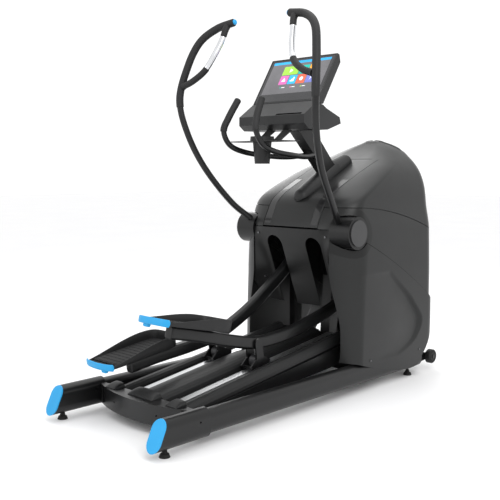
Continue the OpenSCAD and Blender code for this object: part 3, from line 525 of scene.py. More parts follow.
def make_handlebar(side):
    label = SIDES[side]

    def tube(name, path, radii, slot, node="", sides=36, ends=(0.0, 0.0)):
        replaced = (label + node,) if node else ()
        add_piece(label + name, tube_mesh(path, radii, sides, *ends), label + "_handlebar", slot,
                  replaced)

    path = side_curve(BAR_LINE, side)
    tube("_bar_tube", path[:GRIP_START + OVERLAP], BAR_RADIUS, "frame_black", "_handlebar", 40)
    tube("_grip_sleeve", path[GRIP_START:], GRIP_RADIUS, "grip_rubber", "_handle_grip", 40,
         (0.0025, 0.006))
    loop = side_curve(LOOP_LINE, side)
    low = loop[:CONTACT_START + 1]
    flared = [LOOP_RADIUS + 0.0028 * max(0, 1 - k / 5) ** 2 for k in range(len(low))]
    tube("_grip_loop", low, flared, "grip_rubber", ends=(0.0, 0.002))
    tube("_contact_plate", loop[CONTACT_START:CONTACT_END], CONTACT_RADIUS, "contact_chrome",
         "_pulse_contact", ends=(0.001, 0.001))
    tube("_loop_core", loop[CONTACT_START - 2:], CORE_RADIUS, "grip_rubber")
    collar = loop[CONTACT_END:]
    widening = [LOOP_RADIUS + 0.0025 * (k / len(collar)) ** 2 for k in range(len(collar))]
    tube("_loop_collar", collar, widening, "grip_rubber", ends=(0.001, 0.0))


def make_fixed_handlebar():
    """Two mirrored halves that leave the mast; the right ones stand for the CAD nodes."""
    for side, label in SIDES.items():
        path = side_curve(FIXED_LINE, side)
        start = next(k for k, p in enumerate(path) if abs(p[0]) > MAST_HALF_WIDTH)
        bar = tube_mesh(path[start:FIXED_GRIP_START + OVERLAP], FIXED_BAR_RADIUS)
        grip = tube_mesh(path[FIXED_GRIP_START:], FIXED_GRIP_RADIUS, 40, 0.002, 0.010)
        bar_node = ("fixed_handlebar",) if side > 0 else ()
        grip_node = ("fixed_handle_grips",) if side > 0 else ()
        add_piece("fixed_bar_" + label, bar, "base", "frame_black", bar_node)
        add_piece("fixed_grip_" + label, grip, "base", "grip_rubber", grip_node)


# ------------ pedal arms and pedals

PEDAL_OUTLINE = [(-86, 2), (-60, -8), (0, -13), (60, -8), (86, 2), (97, 22), (102, 110), (104, 250),
                 (102, 340), (94, 380), (74, 402), (40, 410), (-40, 410), (-76, 402), (-96, 380),
                 (-103, 340), (-104, 250), (-102, 110), (-97, 22)]
PEDAL_FLOOR = -8.0
PEDAL_BASE = -14.0
PEDAL_RIM = 44.0
PEDAL_HEEL = 14.3
PEDAL_SEAT = (175, -694.5, 87.7)
PEDAL_PITCH = -2.8
ARM_PIVOT = place(0, 845, 313)
ARM_TILT = 10.2


def arm_placing(side):
    """Pivot and tilt of an arm at rest: one arm is tilted up as far as the other is down."""
    tilt = Matrix.Rotation(math.radians(-side * ARM_TILT), 4, "X")
    return Matrix.Translation(ARM_PIVOT) @ tilt


def pedal_frame(side):
    """From pedal millimetres to the row frame; the left pedal is the mirror of the right."""
    flip = Matrix.Diagonal((side, 1, 1, 1))
    pitch = Matrix.Rotation(math.radians(PEDAL_PITCH), 4, "X")
    seat = Matrix.Translation(Vector(PEDAL_SEAT) * MM) @ pitch
    return arm_placing(side) @ flip @ seat @ Matrix.Diagonal((MM, MM, MM, 1))


ARM_X = 134.0
ARM_HALF_WIDTH = 24
ARM_HALF_HEIGHT = 31
ARM_LINE = [(-560, 34), (-395, 25), (-190, 6), (0, 0), (152, 27), (300, 71), (411, 117), (580, 193),
            (740, 290), (897.1, 406.9)]
# Distance along the beam and inset of each cut that rounds its rear end
ARM_END_CUTS = [(0.0, 6.0), (0.6, 3.4), (2.4, 1.2), (6.0, 0.0)]


def arm_frame(side):
    """From arm millimetres to the row frame; the left arm is the mirror of the right."""
    return arm_placing(side) @ Matrix.Diagonal((side * MM, MM, MM, 1))


def rounded_outline(x0, x1, z0, z1, radius, steps=5):
    out = []
    corners = [(x1 - radius, z0 + radius, -90), (x1 - radius, z1 - radius, 0),
               (x0 + radius, z1 - radius, 90), (x0 + radius, z0 + radius, 180)]
    for cx, cz, start in corners:
        for k in range(steps + 1):
            turn = math.radians(start + 90 * k / steps)
            out.append((cx + radius * math.cos(turn), cz + radius * math.sin(turn)))
    return out


def rounded_box(half_w, half_h, radius):
    return rounded_outline(-half_w, half_w, -half_h, half_h, radius, 6)


def disc_rings(at, x0, x1, y, z, radius, soft=1.5):
    """Rings of a short drum along X with softened rims."""
    rings = []
    for x, r in ((x0, radius - soft), (x0 + soft * 0.3, radius - soft * 0.3), (x0 + soft, radius),
                 (x1 - soft, radius), (x1 - soft * 0.3, radius - soft * 0.3), (x1, radius - soft)):
        rings.append([at @ Vector((x, y + r * math.cos(a), z + r * math.sin(a)))
                      for a in turns(48)])
    return rings


def beam_rings(at):
    """Rounded box cuts square to the arm's line, which ends inside the front eye."""
    path = curve_points([(0, y, z) for y, z in ARM_LINE], 10)[:-3]
    profile = rounded_box(ARM_HALF_WIDTH, ARM_HALF_HEIGHT, 14)
    rings = []
    for k, (p, step) in enumerate(zip(path, directions(path))):
        for ahead, inward in [(0.0, 0.0)] if k else ARM_END_CUTS:
            wide = (ARM_HALF_WIDTH - inward) / ARM_HALF_WIDTH
            tall = (ARM_HALF_HEIGHT - inward) / ARM_HALF_HEIGHT
            centre = p + step * ahead
            rings.append([at @ Vector((ARM_X + a * wide, centre[1] - b * tall * step[2],
                                       centre[2] + b * tall * step[1])) for a, b in profile])
    return rings


def make_arm(side):
    label = SIDES[side]

    def part(name, rings, replaced=()):
        add_piece(label + name, loft_mesh(rings), label + "_arm", "frame_black", replaced, 40)

    at = arm_frame(side)
    inner = ARM_X - ARM_HALF_WIDTH
    outer = ARM_X + ARM_HALF_WIDTH
    eye_y, eye_z = ARM_LINE[-1]
    part("_arm_beam", beam_rings(at), (label + "_pedal_arm",))
    part("_arm_eye", disc_rings(at, inner, outer, eye_y, eye_z, 36))
    part("_arm_crank_pin", disc_rings(at, 98, inner + 1, eye_y, eye_z, 10, 1.0))
    part("_arm_pivot_boss", disc_rings(at, inner - 0.6, outer + 0.6, 0, 0, 21))
    seat = pedal_frame(side)
    pad = rounded_box(19, 95, 4)
    part("_pedal_mount", [[seat @ Vector((-41 + a * k, 245 + b * k, z)) for a, b in pad]
                          for z, k in ((-22, 0.94), (-20.5, 1.0), (-14.2, 1.0))])


def closed_curve(points, steps):
    p = [np.array(q, float) for q in points]
    n = len(p)
    out = []
    for i in range(n):
        for j in range(steps):
            out.append(cubic(p[i - 1], p[i], p[(i + 1) % n], p[(i + 2) % n], j / steps))
    return np.array(out)


def inset(outline, distance):
    """Outline moved inwards along its normals."""
    ahead = np.roll(outline, -1, axis=0) - np.roll(outline, 1, axis=0)
    normal = np.stack([-ahead[:, 1], ahead[:, 0]], axis=1)
    normal /= np.linalg.norm(normal, axis=1)[:, None]
    return outline + normal * distance


def rim_height(y):
    """Top of the tray wall: low at the heel, sweeping up to a full wall round the toe."""
    return 3 + 41 * eased((y - 10) / 330) ** 0.8


# Inset of each tray ring, height it starts from, share of the wall, and what is added
TRAY_RINGS = [(6.0, PEDAL_BASE, 0, 0), (1.5, PEDAL_BASE, 0, 1.0), (0.0, PEDAL_BASE, 0, 4.0),
              (0.0, PEDAL_BASE, 0.45, 0), (0.3, PEDAL_BASE, 1, -5.0), (1.4, PEDAL_BASE, 1, -1.4),
              (3.4, PEDAL_BASE, 1, -0.1), (5.4, PEDAL_BASE, 1, -0.8), (7.0, PEDAL_BASE, 1, -3.4),
              (8.6, PEDAL_FLOOR, 0.40, 0), (11.0, PEDAL_FLOOR, 0, 2.5), (14.5, PEDAL_FLOOR, 0, 0.2),
              (19.0, PEDAL_FLOOR, 0, 0)]
PAD_RINGS = [(16.5, -7.5), (15.6, -5.5), (15.6, 0.6), (16.6, 2.0), (18.8, 2.5)]
RIB_COUNT = 12
RIB_FIRST = 46
RIB_PITCH = 28
BUMPER_LINE = [(96.5, 13.2), (95, 8), (86, 3.4), (60, -3.6), (0, -8.2), (-60, -3.6), (-86, 3.4),
               (-95, 8), (-96.5, 13.2)]
BUMPER_TAB = [(-57, 12), (-57, 0), (-52, -4.5), (-24, -4.5), (-19, 0), (-19, 12)]


def tray_rings(at, outline):
    top = rim_height(outline[:, 1])
    rings = []
    for distance, origin, share, lift in TRAY_RINGS:
        ring = inset(outline, distance)
        ring[:, 1] = np.maximum(ring[:, 1], PEDAL_HEEL)
        z = np.clip(origin + share * (top - origin) + lift, PEDAL_BASE, PEDAL_RIM)
        rings.append([at @ Vector((q[0], q[1], h)) for q, h in zip(ring, z)])
    return rings


def pad_rings(at, outline):
    rings = []
    for distance, z in PAD_RINGS:
        ring = inset(outline, distance)
        ring[:, 1] = np.maximum(ring[:, 1], 14.9 + distance * 0.2)
        rings.append([at @ Vector((q[0], q[1], z)) for q in ring])
    return rings


def rib_rings(at, y):
    """One raised rib across the foot pad, as wide as the pad is there."""
    half = float(np.interp(y, [30, 60, 330, 380], [66, 76, 78, 56]))
    rib = bar_outline(half, 4.2)
    return [[at @ Vector((x * (1 - 0.02 * (1 - k)), y + dy * k, z)) for x, dy in rib]
            for z, k in ((2.2, 1.0), (3.6, 1.0), (4.2, 0.8))]


def make_pedal(side):
    label = SIDES[side]
    at = pedal_frame(side)

    def part(name, rings, slot, replaced=(), angle=40):
        return add_piece(label + name, loft_mesh(rings), label + "_arm", slot, replaced, angle)

    outline = closed_curve(PEDAL_OUTLINE, 6)
    outline[:, 1] = np.maximum(outline[:, 1], PEDAL_HEEL)
    part("_pedal_tray", tray_rings(at, outline), "pedal_plastic", (label + "_pedal",))
    pad = part("_foot_pad", pad_rings(at, outline), "pad_rubber", (label + "_pedal_pad",))
    for row in range(RIB_COUNT):
        part("_pad_ridge_%02d" % row, rib_rings(at, RIB_FIRST + row * RIB_PITCH), "pad_rubber")
    part("_heel_bumper", bumper_rings(at), "accent_blue", (label + "_pedal_bumper",))
    rings = [[at @ Vector((x, y, z)) for x, y in BUMPER_TAB] for z in (-16, -27)]
    rings.append([at @ Vector((-38 + (x + 38) * 0.8, 4 + (y - 4) * 0.8, -33.5))
                  for x, y in BUMPER_TAB])
    bevel(part("_bumper_tab", rings, "accent_blue", (), 30), 0.0018, 3, 30)


def bar_outline(half, thick):
    """Flat bar with round ends, centred on the origin."""
    out = []
    for centre, start in ((half, -90), (-half, 90)):
        for k in range(7):
            a = math.radians(start + 30 * k)
            out.append((centre + thick * math.cos(a), thick * math.sin(a)))
    return out


def bumper_rings(at):
    """Fat rounded bar that follows the heel and thins out at its two ends."""
    path = curve_points([(x, y, 0) for x, y in BUMPER_LINE], 8)
    rings = []
    for k, (p, step) in enumerate(zip(path, directions(path))):
        out = np.array([-step[1], step[0], 0])
        if out[1] > 0:
            out = -out
        swell = min(1.0, 0.55 + 0.45 * min(k, len(path) - 1 - k) / 6)
        ring = []
        for a in turns(28):
            c, s = math.cos(a), math.sin(a)
            rise = 15.8 * swell * abs(s) ** 0.75 * (1 if s > 0 else -1)
            bulge = 4.7 * abs(c) ** 0.75 * (1 if c > 0 else -1)
            q = p + out * bulge
            ring.append(at @ Vector((q[0], min(q[1], 13.8), -4.0 + rise)))
        rings.append(ring)
    return rings


# ------------ display

SCREEN_FRAME = (Matrix.Translation(place(0, 1219, 1500))
                @ Matrix.Rotation(math.radians(-32.5), 4, "X"))


def on_screen(x, y, z):
    return SCREEN_FRAME @ Vector((x * MM, y * MM, z * MM))


TILES = [
    ("header", -196, 196, 258, 274, (0.02, 0.36, 0.72)),
    ("green", -104, 2, 184, 240, (0.30, 0.62, 0.06)),
    ("teal", 7, 69, 184, 240, (0.0, 0.45, 0.36)),
    ("orange", 74, 136, 184, 240, (0.85, 0.38, 0.02)),
    ("pink", -104, -48, 122, 179, (0.62, 0.14, 0.42)),
    ("sky", -43, 11, 122, 179, (0.03, 0.42, 0.78)),
    ("red", 16, 72, 122, 179, (0.80, 0.12, 0.06)),
    ("indigo", 77, 136, 122, 179, (0.16, 0.18, 0.52)),
]
SHORTCUTS = [(-78, (0.0, 0.45, 0.36)), (-8, (0.75, 0.2, 0.4)), (62, (0.35, 0.6, 0.1))]


def disc_outline(cx, cz, radius, steps):
    return [(cx + radius * math.cos(t), cz + radius * math.sin(t)) for t in turns(steps)]


MARKS = {
    "play": [(-58, 199), (-36, 212), (-58, 225)],
    "drop": [(30, 204), (38, 199), (46, 204), (48, 214), (38, 227), (28, 214)],
    "hill": [(88, 201), (122, 201), (110, 222), (104, 212), (99, 219)],
    "peak": [(-90, 141), (-62, 141), (-70, 158), (-76, 165), (-82, 158)],
    "bars": [(-30, 139), (-4, 139), (-4, 166), (-13, 166), (-13, 156), (-22, 156), (-22, 148),
             (-30, 148)],
    "round": disc_outline(44, 152, 12, 16),
    "bolt": [(100, 138), (112, 152), (106, 153), (114, 168), (100, 154), (106, 152)],
}


def screen_tile(name, outline, low, high, material):
    """Thin raised plate on the display, front at local y = low."""
    rings = [[on_screen(x, y, z) for x, z in outline] for y in (low, high)]
    add_piece(name, loft_mesh(rings), "base", "screen_glass", material=material)


def make_display():
    glass = rounded_outline(-214.2, 214.2, 12.8, 285.2, 6)
    edge = rounded_outline(-213.4, 213.4, 13.6, 284.4, 5.6)
    rings = [[on_screen(x, y, z) for x, z in outline] for outline, y in
             ((glass, 4.9), (glass, 1.3), (edge, 0.5))]
    add_piece("display_glass", loft_mesh(rings), "base", "screen_glass", ("console_screen",))
    lit = glow("display_backdrop", (0.115, 0.113, 0.120), 0.45)
    white = glow("tile_marks", (0.80, 0.80, 0.80), 0.4)
    screen_tile("display_picture", rounded_outline(-196, 196, 62, 274, 1.5), 0.34, 0.6, lit)
    for name, *sides, colour in TILES:
        screen_tile("tile_" + name, rounded_outline(*sides, 1.2), 0.22, 0.40,
                    glow("tile_" + name, colour))
    for name, outline in MARKS.items():
        screen_tile("mark_" + name, outline, 0.12, 0.24, white)
    for k, (x, colour) in enumerate(SHORTCUTS):
        name = "shortcut_dot_%d" % k
        screen_tile(name, disc_outline(x, 102, 4, 16), 0.22, 0.40, glow(name, colour))
        screen_tile("shortcut_line_%d" % k, rounded_outline(x + 8, x + 30, 100, 104, 1), 0.22,
                    0.40, white)


# ------------ drive housing

# Half width, rear face, rear corner depth and front face of the housing at each height
HALF_WIDTH = [(50, 398), (300, 396), (600, 392), (850, 384), (950, 362), (1050, 352), (1100, 337),
              (1150, 315), (1200, 276), (1250, 222), (1285, 168), (1305, 110), (1320, 50)]
REAR_FACE = [(50, 1290), (850, 1258), (1000, 1336), (1050, 1432), (1100, 1540), (1150, 1650),
             (1200, 1768), (1250, 1880), (1290, 1956), (1320, 2006)]
CORNER_DEPTH = [(50, 100), (400, 130), (850, 190), (950, 110), (1050, 108), (1150, 100),
                (1250, 140), (1295, 100), (1320, 35)]
FRONT_FACE = [(50, 2086), (300, 2098), (1000, 2100), (1200, 2098), (1250, 2092), (1295, 2074),
              (1320, 2040)]
SKIRT_LINE = [(1180, 164), (1300, 162), (1352, 154), (1436, 128), (1722, 59), (1823, 51),
              (1906, 56), (1936, 91), (1988, 135), (2050, 215), (2130, 300)]
FOOT = 0.050
CREST = 1.320
GAP = 0.0021
FLANK_PROUD = 0.007
# Half widths at which the panels begin or end
MIDDLE_EDGE = 0.1905
FLANK_EDGE = 0.2625
OPENING_EDGE = 0.2622
NOSE_EDGE = 0.331
STRIP_EDGE = 0.328
STRIP_FOOT = 0.300
SLOT_X = 0.134
SLOT_RADIUS = 0.052
SLOT_LOW = 0.372
SLOT_HIGH = 0.748
# Side view of the mouth that the arms and the ramp pass through, in mm
MOUTH = [(1100, 545), (1289, 535), (1350, 462), (1400, 426), (1462, 404), (1600, 404), (1600, 60),
         (1100, 60)]
# Front edge of the hollow in each flank panel
SCOOP_Z = [0.150, 0.157, 0.186, 0.272, 0.324, 0.469, 0.615]
SCOOP_Y = [1.644, 1.755, 1.870, 1.946, 1.964, 1.830, 1.629]
SCOOP_DEPTH = 0.020


def blurred(values, reach, spread):
    """Values averaged with their neighbours under a bell curve."""
    kernel = np.exp(-0.5 * (np.arange(-reach, reach + 1) / spread) ** 2)
    return np.convolve(values, kernel / kernel.sum(), mode="same")


def smoothed(table):
    """Heights and values of a profile, with its corners rounded off."""
    step = 0.004
    z = np.arange(FOOT, CREST + 0.5 * step, step)
    at = np.array([q[0] for q in table]) * MM
    value = np.array([q[1] for q in table]) * MM
    wide = np.arange(FOOT - 25 * step, CREST + 25 * step, step)
    plain = np.interp(wide, at, value)
    over = wide > at[-1]
    rise = (value[-1] - value[-2]) / (at[-1] - at[-2])
    plain[over] = value[-1] + rise * (wide[over] - at[-1])
    return z, np.interp(z, wide, blurred(plain, 20, 6.0))


PROFILES = {name: smoothed(table) for name, table in (
    ("w", HALF_WIDTH), ("rear", REAR_FACE), ("deep", CORNER_DEPTH), ("front", FRONT_FACE))}


def level(z, proud=0.0):
    """Half width, rear, corner and front sizes of the housing at height z."""
    w, rear, deep, front = (np.interp(z, *PROFILES[k]) for k in ("w", "rear", "deep", "front"))
    w = w + proud
    rear = rear - proud
    front = front + proud
    side = np.minimum(0.55 * w, 0.42 * w + 0.25 * deep)
    nose = np.minimum(0.090, np.minimum((front - rear) * 0.35, w * 0.6))
    return w, rear, deep, front, side, nose


def wall(s, z, proud=0.0):
    """Point of the right half outline: rear 0-1, corner 1-2, side 2-3, nose 3-4, front 4-5."""
    w, rear, deep, front, side, nose = level(z, proud)
    part = np.clip(s, 0, 4.9999).astype(int)
    t = s - part
    a = t * math.pi / 2
    parts = [part == k for k in range(5)]
    x = np.select(parts, [t * (w - side), w - side + side * np.sin(a), w + 0 * t,
                          w - nose + nose * np.cos(a), (1 - t) * (w - nose)])
    y = np.select(parts, [rear + 0 * t, rear + deep * (1 - np.cos(a)),
                          rear + deep + t * (front - nose - rear - deep),
                          front - nose + nose * np.sin(a), front + 0 * t])
    return x, y


def start_at(x_in, z, proud):
    """Outline parameter in the rear corner where the half width is x_in."""
    w, _, _, _, side, _ = level(z, proud)
    flat = w - side
    inside = np.clip(x_in / np.maximum(flat, 0.001), 0, 1)
    corner = 1 + np.arcsin(np.clip((x_in - flat) / side, 0, 1)) / (math.pi / 2)
    return np.where(x_in < flat, inside, corner)


def end_at(x_out, z, proud):
    """Outline parameter in the nose where the half width is x_out."""
    w, _, _, _, _, nose = level(z, proud)
    return 3 + np.arccos(np.clip((x_out - (w - nose)) / nose, 0, 1)) / (math.pi / 2)


def skirt(y):
    at = [q[0] * MM for q in SKIRT_LINE]
    return np.interp(y, at, [q[1] * MM for q in SKIRT_LINE])


def upper_seam(y):
    d = y - 1.490
    return 0.953 - 0.0813 * d - 0.278 * d * d


def lower_seam(y):
    d = y - 1.437
    return 0.772 - 0.436 * d - 0.2 * d * d


def panel_grid(first, last, low, high, proud, columns, rows):
    """Grid of points of the right half, between two outline limits and two height curves."""
    breaks = np.linspace(0, 1, columns)
    z = np.full((rows, columns), 0.6)
    v = np.linspace(0, 1, rows)[:, None]
    for _ in range(25):
        begin, end = first(z), last(z)
        corner = np.maximum(begin, 2)
        s = np.interp(breaks, [0, 0.25, 0.72, 1], [0, 1, 2, 3])[None, :] + 0 * z
        s = np.where(s < 1, begin + (corner - begin) * s,
                     np.where(s < 2, corner + (3 - corner) * (s - 1), 3 + (end - 3) * (s - 2)))
        x, y = wall(s, z, proud)
        z = low(y) + v * (high(y) - low(y))
    x, y = wall(s, z, proud)
    return np.stack([x, y + REAR, z], axis=-1)


def grid_faces(rows, columns):
    return [(i * columns + j, i * columns + j + 1, (i + 1) * columns + j + 1, (i + 1) * columns + j)
            for i in range(rows - 1) for j in range(columns - 1)]


def orient(piece):
    """Turns the skin's faces away from the middle of the housing."""
    mesh = piece.data
    middle = Vector((0, 1.70 + REAR, 0.62))
    total = sum((f.center - middle).dot(f.normal) * f.area for f in mesh.polygons)
    if total < 0:
        mesh.flip_normals()


def shell(piece, thickness=0.003):
    change = piece.modifiers.new("wall", "SOLIDIFY")
    change.thickness = thickness
    change.offset = -1


def add_skin(name, grid, slot, replaced=(), thickness=0.003, material=None):
    """Thin sheet over a grid of points, facing out of the housing."""
    rows, columns = grid.shape[:2]
    skin = grid.reshape(-1, 3), grid_faces(rows, columns)
    piece = add_piece(name, skin, "base", slot, replaced, 32, material)
    orient(piece)
    shell(piece, thickness)
    return piece


def prism(outline, axis, low, high):
    """Cutting tool over an outline of point pairs; axis is the direction of its length."""
    rings = [[(c, a, b) if axis == "x" else (a, c, b) for a, b in outline] for c in (low, high)]
    verts, faces = loft_mesh(rings)
    mesh = bpy.data.meshes.new("cutter")
    mesh.from_pydata(verts, [], faces)
    face_outward(mesh)
    tool = bpy.data.objects.new("cutter", mesh)
    show(tool)
    return tool


def cut(piece, tools):
    """Cuts the tools out of a piece, applies its modifiers and removes the tools."""
    for tool in tools:
        change = piece.modifiers.new("cut", "BOOLEAN")
        change.operation = "DIFFERENCE"
        change.solver = "EXACT"
        change.object = tool
    bpy.context.view_layer.update()
    evaluated = piece.evaluated_get(bpy.context.evaluated_depsgraph_get())
    mesh = bpy.data.meshes.new_from_object(evaluated)
    piece.modifiers.clear()
    piece.data = mesh
    for tool in tools:
        bpy.data.objects.remove(tool)
    soften(mesh, 32)


def hub_tool(side):
    """Drum that clears the skin round a handlebar hub."""
    low, high = sorted((side * FLANK_EDGE, side * 0.45))
    return prism(disc_outline(HUB_Y + REAR, HUB_Z, 0.090, 64), "x", low, high)


def scooped(grid):
    """Presses the long hollow into the flank, with a crisp front edge that fades rearward."""
    y = grid[..., 1] - REAR
    z = grid[..., 2]
    fine_z = np.arange(0.0, 0.9, 0.004)
    fine_y = blurred(np.interp(fine_z, SCOOP_Z, SCOOP_Y), 24, 7.0)
    behind = np.interp(z, fine_z, fine_y) - y
    tall = np.sin(math.pi * np.clip((z - 0.150) / 0.465, 0, 1)) ** 0.6
    fade = np.exp(-(np.maximum(behind, 0) / 0.24) ** 2)
    out = grid.copy()
    out[..., 0] -= SCOOP_DEPTH * tall * eased(behind / 0.030) * fade
    return out


def opening_edge(z):
    """Half width of the rear opening: it widens downwards in one sweep."""
    back = np.clip((0.230 - z) / 0.110, 0, 1)
    return OPENING_EDGE + 0.058 * eased((0.640 - z) / 0.330) - 0.022 * back * back


def make_flank(side):
    """Proud lower side panel, with its hollow and the cut round the hub."""
    label = SIDES[side]
    grid = panel_grid(lambda z: start_at(opening_edge(z) + 0.0012, z, FLANK_PROUD),
                      lambda z: end_at(NOSE_EDGE, z, FLANK_PROUD), skirt,
                      lambda y: lower_seam(y) - GAP, FLANK_PROUD, 150, 80)
    flank = add_skin(label + "_flank_panel", scooped(grid) * (side, 1, 1), "cover_charcoal",
                     (label + "_lower_panel",))
    cut(flank, [hub_tool(side)])
    bevel(flank)


def make_shoulder(side):
    """Side panel between the two seams; it runs on behind the top of the flank panel."""
    label = SIDES[side]
    grid = panel_grid(lambda z: start_at(MIDDLE_EDGE + 0.001, z, 0.0),
                      lambda z: end_at(NOSE_EDGE, z, 0.0), lambda y: lower_seam(y) - 0.014,
                      lambda y: upper_seam(y) - GAP, 0.0, 150, 50)
    shoulder = add_skin(label + "_shoulder_panel", grid * (side, 1, 1), "cover_charcoal",
                        (label + "_side_cover",))
    beside = [(0.10, 0.70), (0.2635, 0.70), (0.2635, 0.8485), (0.10, 0.8485)]
    beside = [(side * x, z) for x, z in beside]
    cut(shoulder, [hub_tool(side), prism(beside, "y", 1.15 + REAR, 1.60 + REAR)])
    bevel(shoulder)


def make_seams(side):
    """Near-black band that paints the shadow in the lower seam's gap, and a band that closes the
    upper one from inside.
    """
    label = SIDES[side]
    proud = 0.001
    # Painted shadow: thin near-black band between the shoulder and the proud flank panel, standing
    # in for the shade in the seam
    grid = panel_grid(lambda z: start_at(FLANK_EDGE, z, proud),
                      lambda z: end_at(NOSE_EDGE, z, proud), lambda y: lower_seam(y) - 0.006,
                      lambda y: lower_seam(y) + 0.0036, proud, 130, 4)
    shadow_band = add_skin(label + "_flank_seam_shadow", grid * (side, 1, 1), "trim_plastic", (),
                      0.0008, MATERIALS["painted_shade"])
    cut(shadow_band, [hub_tool(side)])
    sunk = -0.0045
    grid = panel_grid(lambda z: start_at(0.1925, z, sunk), lambda z: end_at(0.325, z, sunk),
                      lambda y: upper_seam(y) - 0.012, lambda y: upper_seam(y) + 0.012, sunk,
                      110, 5)
    add_skin(label + "_seam_backing", grid * (side, 1, 1), "trim_plastic", (), 0.002)


def make_hood():
    """Top shell from the upper seam to the crest, closed by a crowned cap."""
    cap = 8
    half = panel_grid(lambda z: 0 * z, lambda z: 0 * z + 5, lambda y: upper_seam(y) + GAP,
                      lambda y: 0 * y + CREST, 0.0, 150, 60)
    other = half[:, ::-1][:, 1:-1] * (-1, 1, 1)
    ring = np.concatenate([half, other], axis=1)
    count = ring.shape[1]
    levels = list(ring)
    middle = ring[-1].mean(axis=0)
    for k in range(1, cap + 1):
        share = 1 - k / (cap + 0.6)
        rise = 0.006 * (1 - share * share)
        levels.append(middle + (ring[-1] - middle) * share + (0, 0, rise))
    faces = ring_faces(len(levels), count)
    faces.append(tuple((len(levels) - 1) * count + j for j in range(count)))
    hood = add_piece("housing_hood", (np.concatenate(levels), faces), "base", "cover_charcoal",
                     ("front_cover",), 32)
    orient(hood)
    shell(hood)
    zone = [(-MIDDLE_EDGE, 0.80), (MIDDLE_EDGE, 0.80), (MIDDLE_EDGE, 1.40), (-MIDDLE_EDGE, 1.40)]
    cut(hood, [prism(zone, "y", 1.15 + REAR, 1.80 + REAR), hub_tool(1), hub_tool(-1)])
    bevel(hood)


def make_front_strip():
    """Front of the housing below the hood, between the two sides' nose edges."""
    rows = 50
    breaks = np.linspace(0, 1, 40)[None, :]
    v = np.linspace(0, 1, rows)[:, None]
    z = np.linspace(STRIP_FOOT, 0.80, rows)[:, None] + 0 * breaks
    for _ in range(20):
        edge = end_at(STRIP_EDGE, z, 0.0)
        x, y = wall(edge + (5 - edge) * breaks, z)
        z = STRIP_FOOT + v * (upper_seam(y) - GAP - STRIP_FOOT)
    right = np.stack([x, y + REAR, z], axis=-1)
    left = right[:, ::-1][:, 1:] * (-1, 1, 1)
    strip = add_skin("housing_front_strip", np.concatenate([right, left], axis=1), "cover_charcoal")
    bevel(strip)


def rear_y(x, z):
    """Forward position of the sloping rear surface at x, z."""
    w, rear, deep, _, side, _ = level(z)
    a = np.arcsin(np.clip((np.abs(x) - (w - side)) / side, 0, 1))
    return rear + deep * (1 - np.cos(a))


def rear_sheet(name, x0, x1, low, high, lift, slot, replaced, columns, rows, material=None):
    """Panel on the sloping rear surface between two half widths and two heights."""
    x = np.linspace(x0, x1, columns)[None, :]
    z = np.linspace(low, high, rows)[:, None]
    y = rear_y(x, z) - lift
    grid = np.stack([x + 0 * z, y + REAR, z + 0 * x + lift * 0.5], axis=-1)
    return add_skin(name, grid, slot, replaced, material=material)


def make_shroud():
    """Middle panel up to the mast's boot, with a gloss strip along each side."""
    z = np.linspace(0.9, 1.3, 400)
    top = float(np.interp(1.797, level(z)[1], z))
    bevel(rear_sheet("housing_shroud", -0.1885, 0.1885, 0.8535, top, 0.0, "cover_charcoal",
                     ("upper_shroud",), 90, 90))
    for side, label in SIDES.items():
        x = sorted((side * 0.140, side * 0.184))
        bevel(rear_sheet("shroud_strip_" + label, x[0], x[1], 0.866, 1.10, 0.0012, "trim_plastic",
                         (), 14, 50, MATERIALS["gloss"]), 0.001)


def fascia_y(x, z):
    """Leaning rear panel whose sides sweep back out to the flank panels."""
    flat = 1.262 + np.maximum(0, 0.845 - z) * 0.4 - np.maximum(0, 0.330 - z) * 0.4
    edge = opening_edge(z)
    side_y = rear_y(edge, z) - 0.001
    t = np.clip((np.abs(x) - 0.196) / (edge - 0.196), 0, 1)
    return flat + (side_y - flat) * t * t


def slot_outline(centre):
    """Upright slot with round ends that a pedal arm passes through."""
    out = []
    for start, middle in ((math.pi, SLOT_LOW), (0, SLOT_HIGH)):
        for k in range(25):
            a = start + math.pi * k / 24
            out.append((centre + SLOT_RADIUS * math.cos(a), middle + SLOT_RADIUS * math.sin(a)))
    return out


def make_fascia():
    z = np.linspace(0.380, 0.8445, 90)[:, None] + np.zeros((1, 90))
    x = np.linspace(-1, 1, 90)[None, :] * (opening_edge(z) - 0.0012)
    grid = np.stack([x, fascia_y(x, z) + REAR, z], axis=-1)
    fascia = add_skin("fascia_panel", grid, "fascia_black", ("slotted_fascia",), 0.004)
    tools = [prism(slot_outline(side * SLOT_X), "y", 1.15 + REAR, 1.75 + REAR) for side in SIDES]
    tools.append(prism([(y * MM + REAR, z * MM) for y, z in MOUTH], "x", -0.34, 0.34))
    cut(fascia, tools)
    bevel(fascia, 0.0014)


# ------------ covers over the ramp's hinge

COVER_REAR = 237.5
COVER_LENGTH = 58
COVER_FOOT = 138.4
COVER_LIP = 1.5


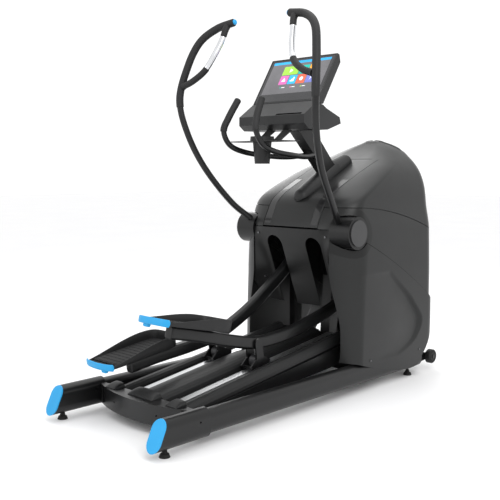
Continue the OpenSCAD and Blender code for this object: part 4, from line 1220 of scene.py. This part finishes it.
def hinge_cover(name, centre, width, height, replaced=()):
    """Low cover whose arched top swells from the rear edge up to the ramp's own cover."""
    rings = []
    for k in range(15):
        t = k / 14
        y = COVER_REAR + COVER_LENGTH * t
        rise = height * (0.12 + 0.88 * math.sin(math.pi / 2 * t) ** 0.8)
        half = width / 2 * (0.93 + 0.07 * math.sin(math.pi / 2 * min(1, 3 * t)))
        ring = [place(centre + half, y, COVER_FOOT)]
        for j in range(25):
            a = math.pi * j / 24
            across = math.copysign(abs(math.cos(a)) ** 0.6, math.cos(a))
            up = COVER_LIP + (rise - COVER_LIP) * math.sin(a) ** 0.7
            ring.append(place(centre + half * across, y, COVER_FOOT + up))
        ring.append(place(centre - half, y, COVER_FOOT))
        rings.append(ring)
    bevel(add_piece(name, loft_mesh(rings), "base", "trim_plastic", replaced, 40))


def make_hinge_covers():
    hinge_cover("hinge_cover_middle", 0, 176, 30, ("ramp_hinge_covers",))
    for side, label in SIDES.items():
        hinge_cover("hinge_cover_" + label, side * 216, 76, 24)


# ------------ CAD nodes kept as they are

# Width of the rounded edges that soften each CAD node, the same on the left and the right
EDGES = {
    "base_rail": 0.003, "rail_end_caps": 0.003, "rear_crossmember": 0.004, "ramp_covers": 0.002,
    "console_housing": 0.005, "console_base": 0.004, "accessory_tray": 0.0012,
    "cup_holder": 0.001, "console_mast": 0.004, "handle_hub": 0.004, "carriage": 0.002,
    "guide_tracks": 0.0008, "front_crossmember": 0.003, "power_inlet": 0.0008,
    "levelling_feet": 0.0012, "ramp_frame": 0.001, "transport_wheel": 0.002,
    "thumb_switch": 0.001,
}


def dress_cad():
    """Material, smooth shading and softened edges for every CAD node."""
    slots = {part["node"]: part["material_slot"] for part in frame["record"]["subparts"]}
    for name, node in frame["nodes"].items():
        kind = name.removeprefix("left_").removeprefix("right_")
        material = MATERIALS["hub" if kind == "handle_hub" else slots[name]]
        if not node.material_slots:
            node.data.materials.append(material)
        for holder in node.material_slots:
            holder.material = material
        soften(node.data, 32)
        if kind in EDGES:
            bevel(node, EDGES[kind], 3, 32)


def main():
    make_camera()
    make_studio()
    dress_cad()
    for side in SIDES:
        make_handlebar(side)
        make_arm(side)
        make_pedal(side)
    make_fixed_handlebar()
    make_display()
    for side in SIDES:
        make_flank(side)
        make_shoulder(side)
        make_seams(side)
    make_hood()
    make_front_strip()
    make_shroud()
    make_fascia()
    make_hinge_covers()


main()
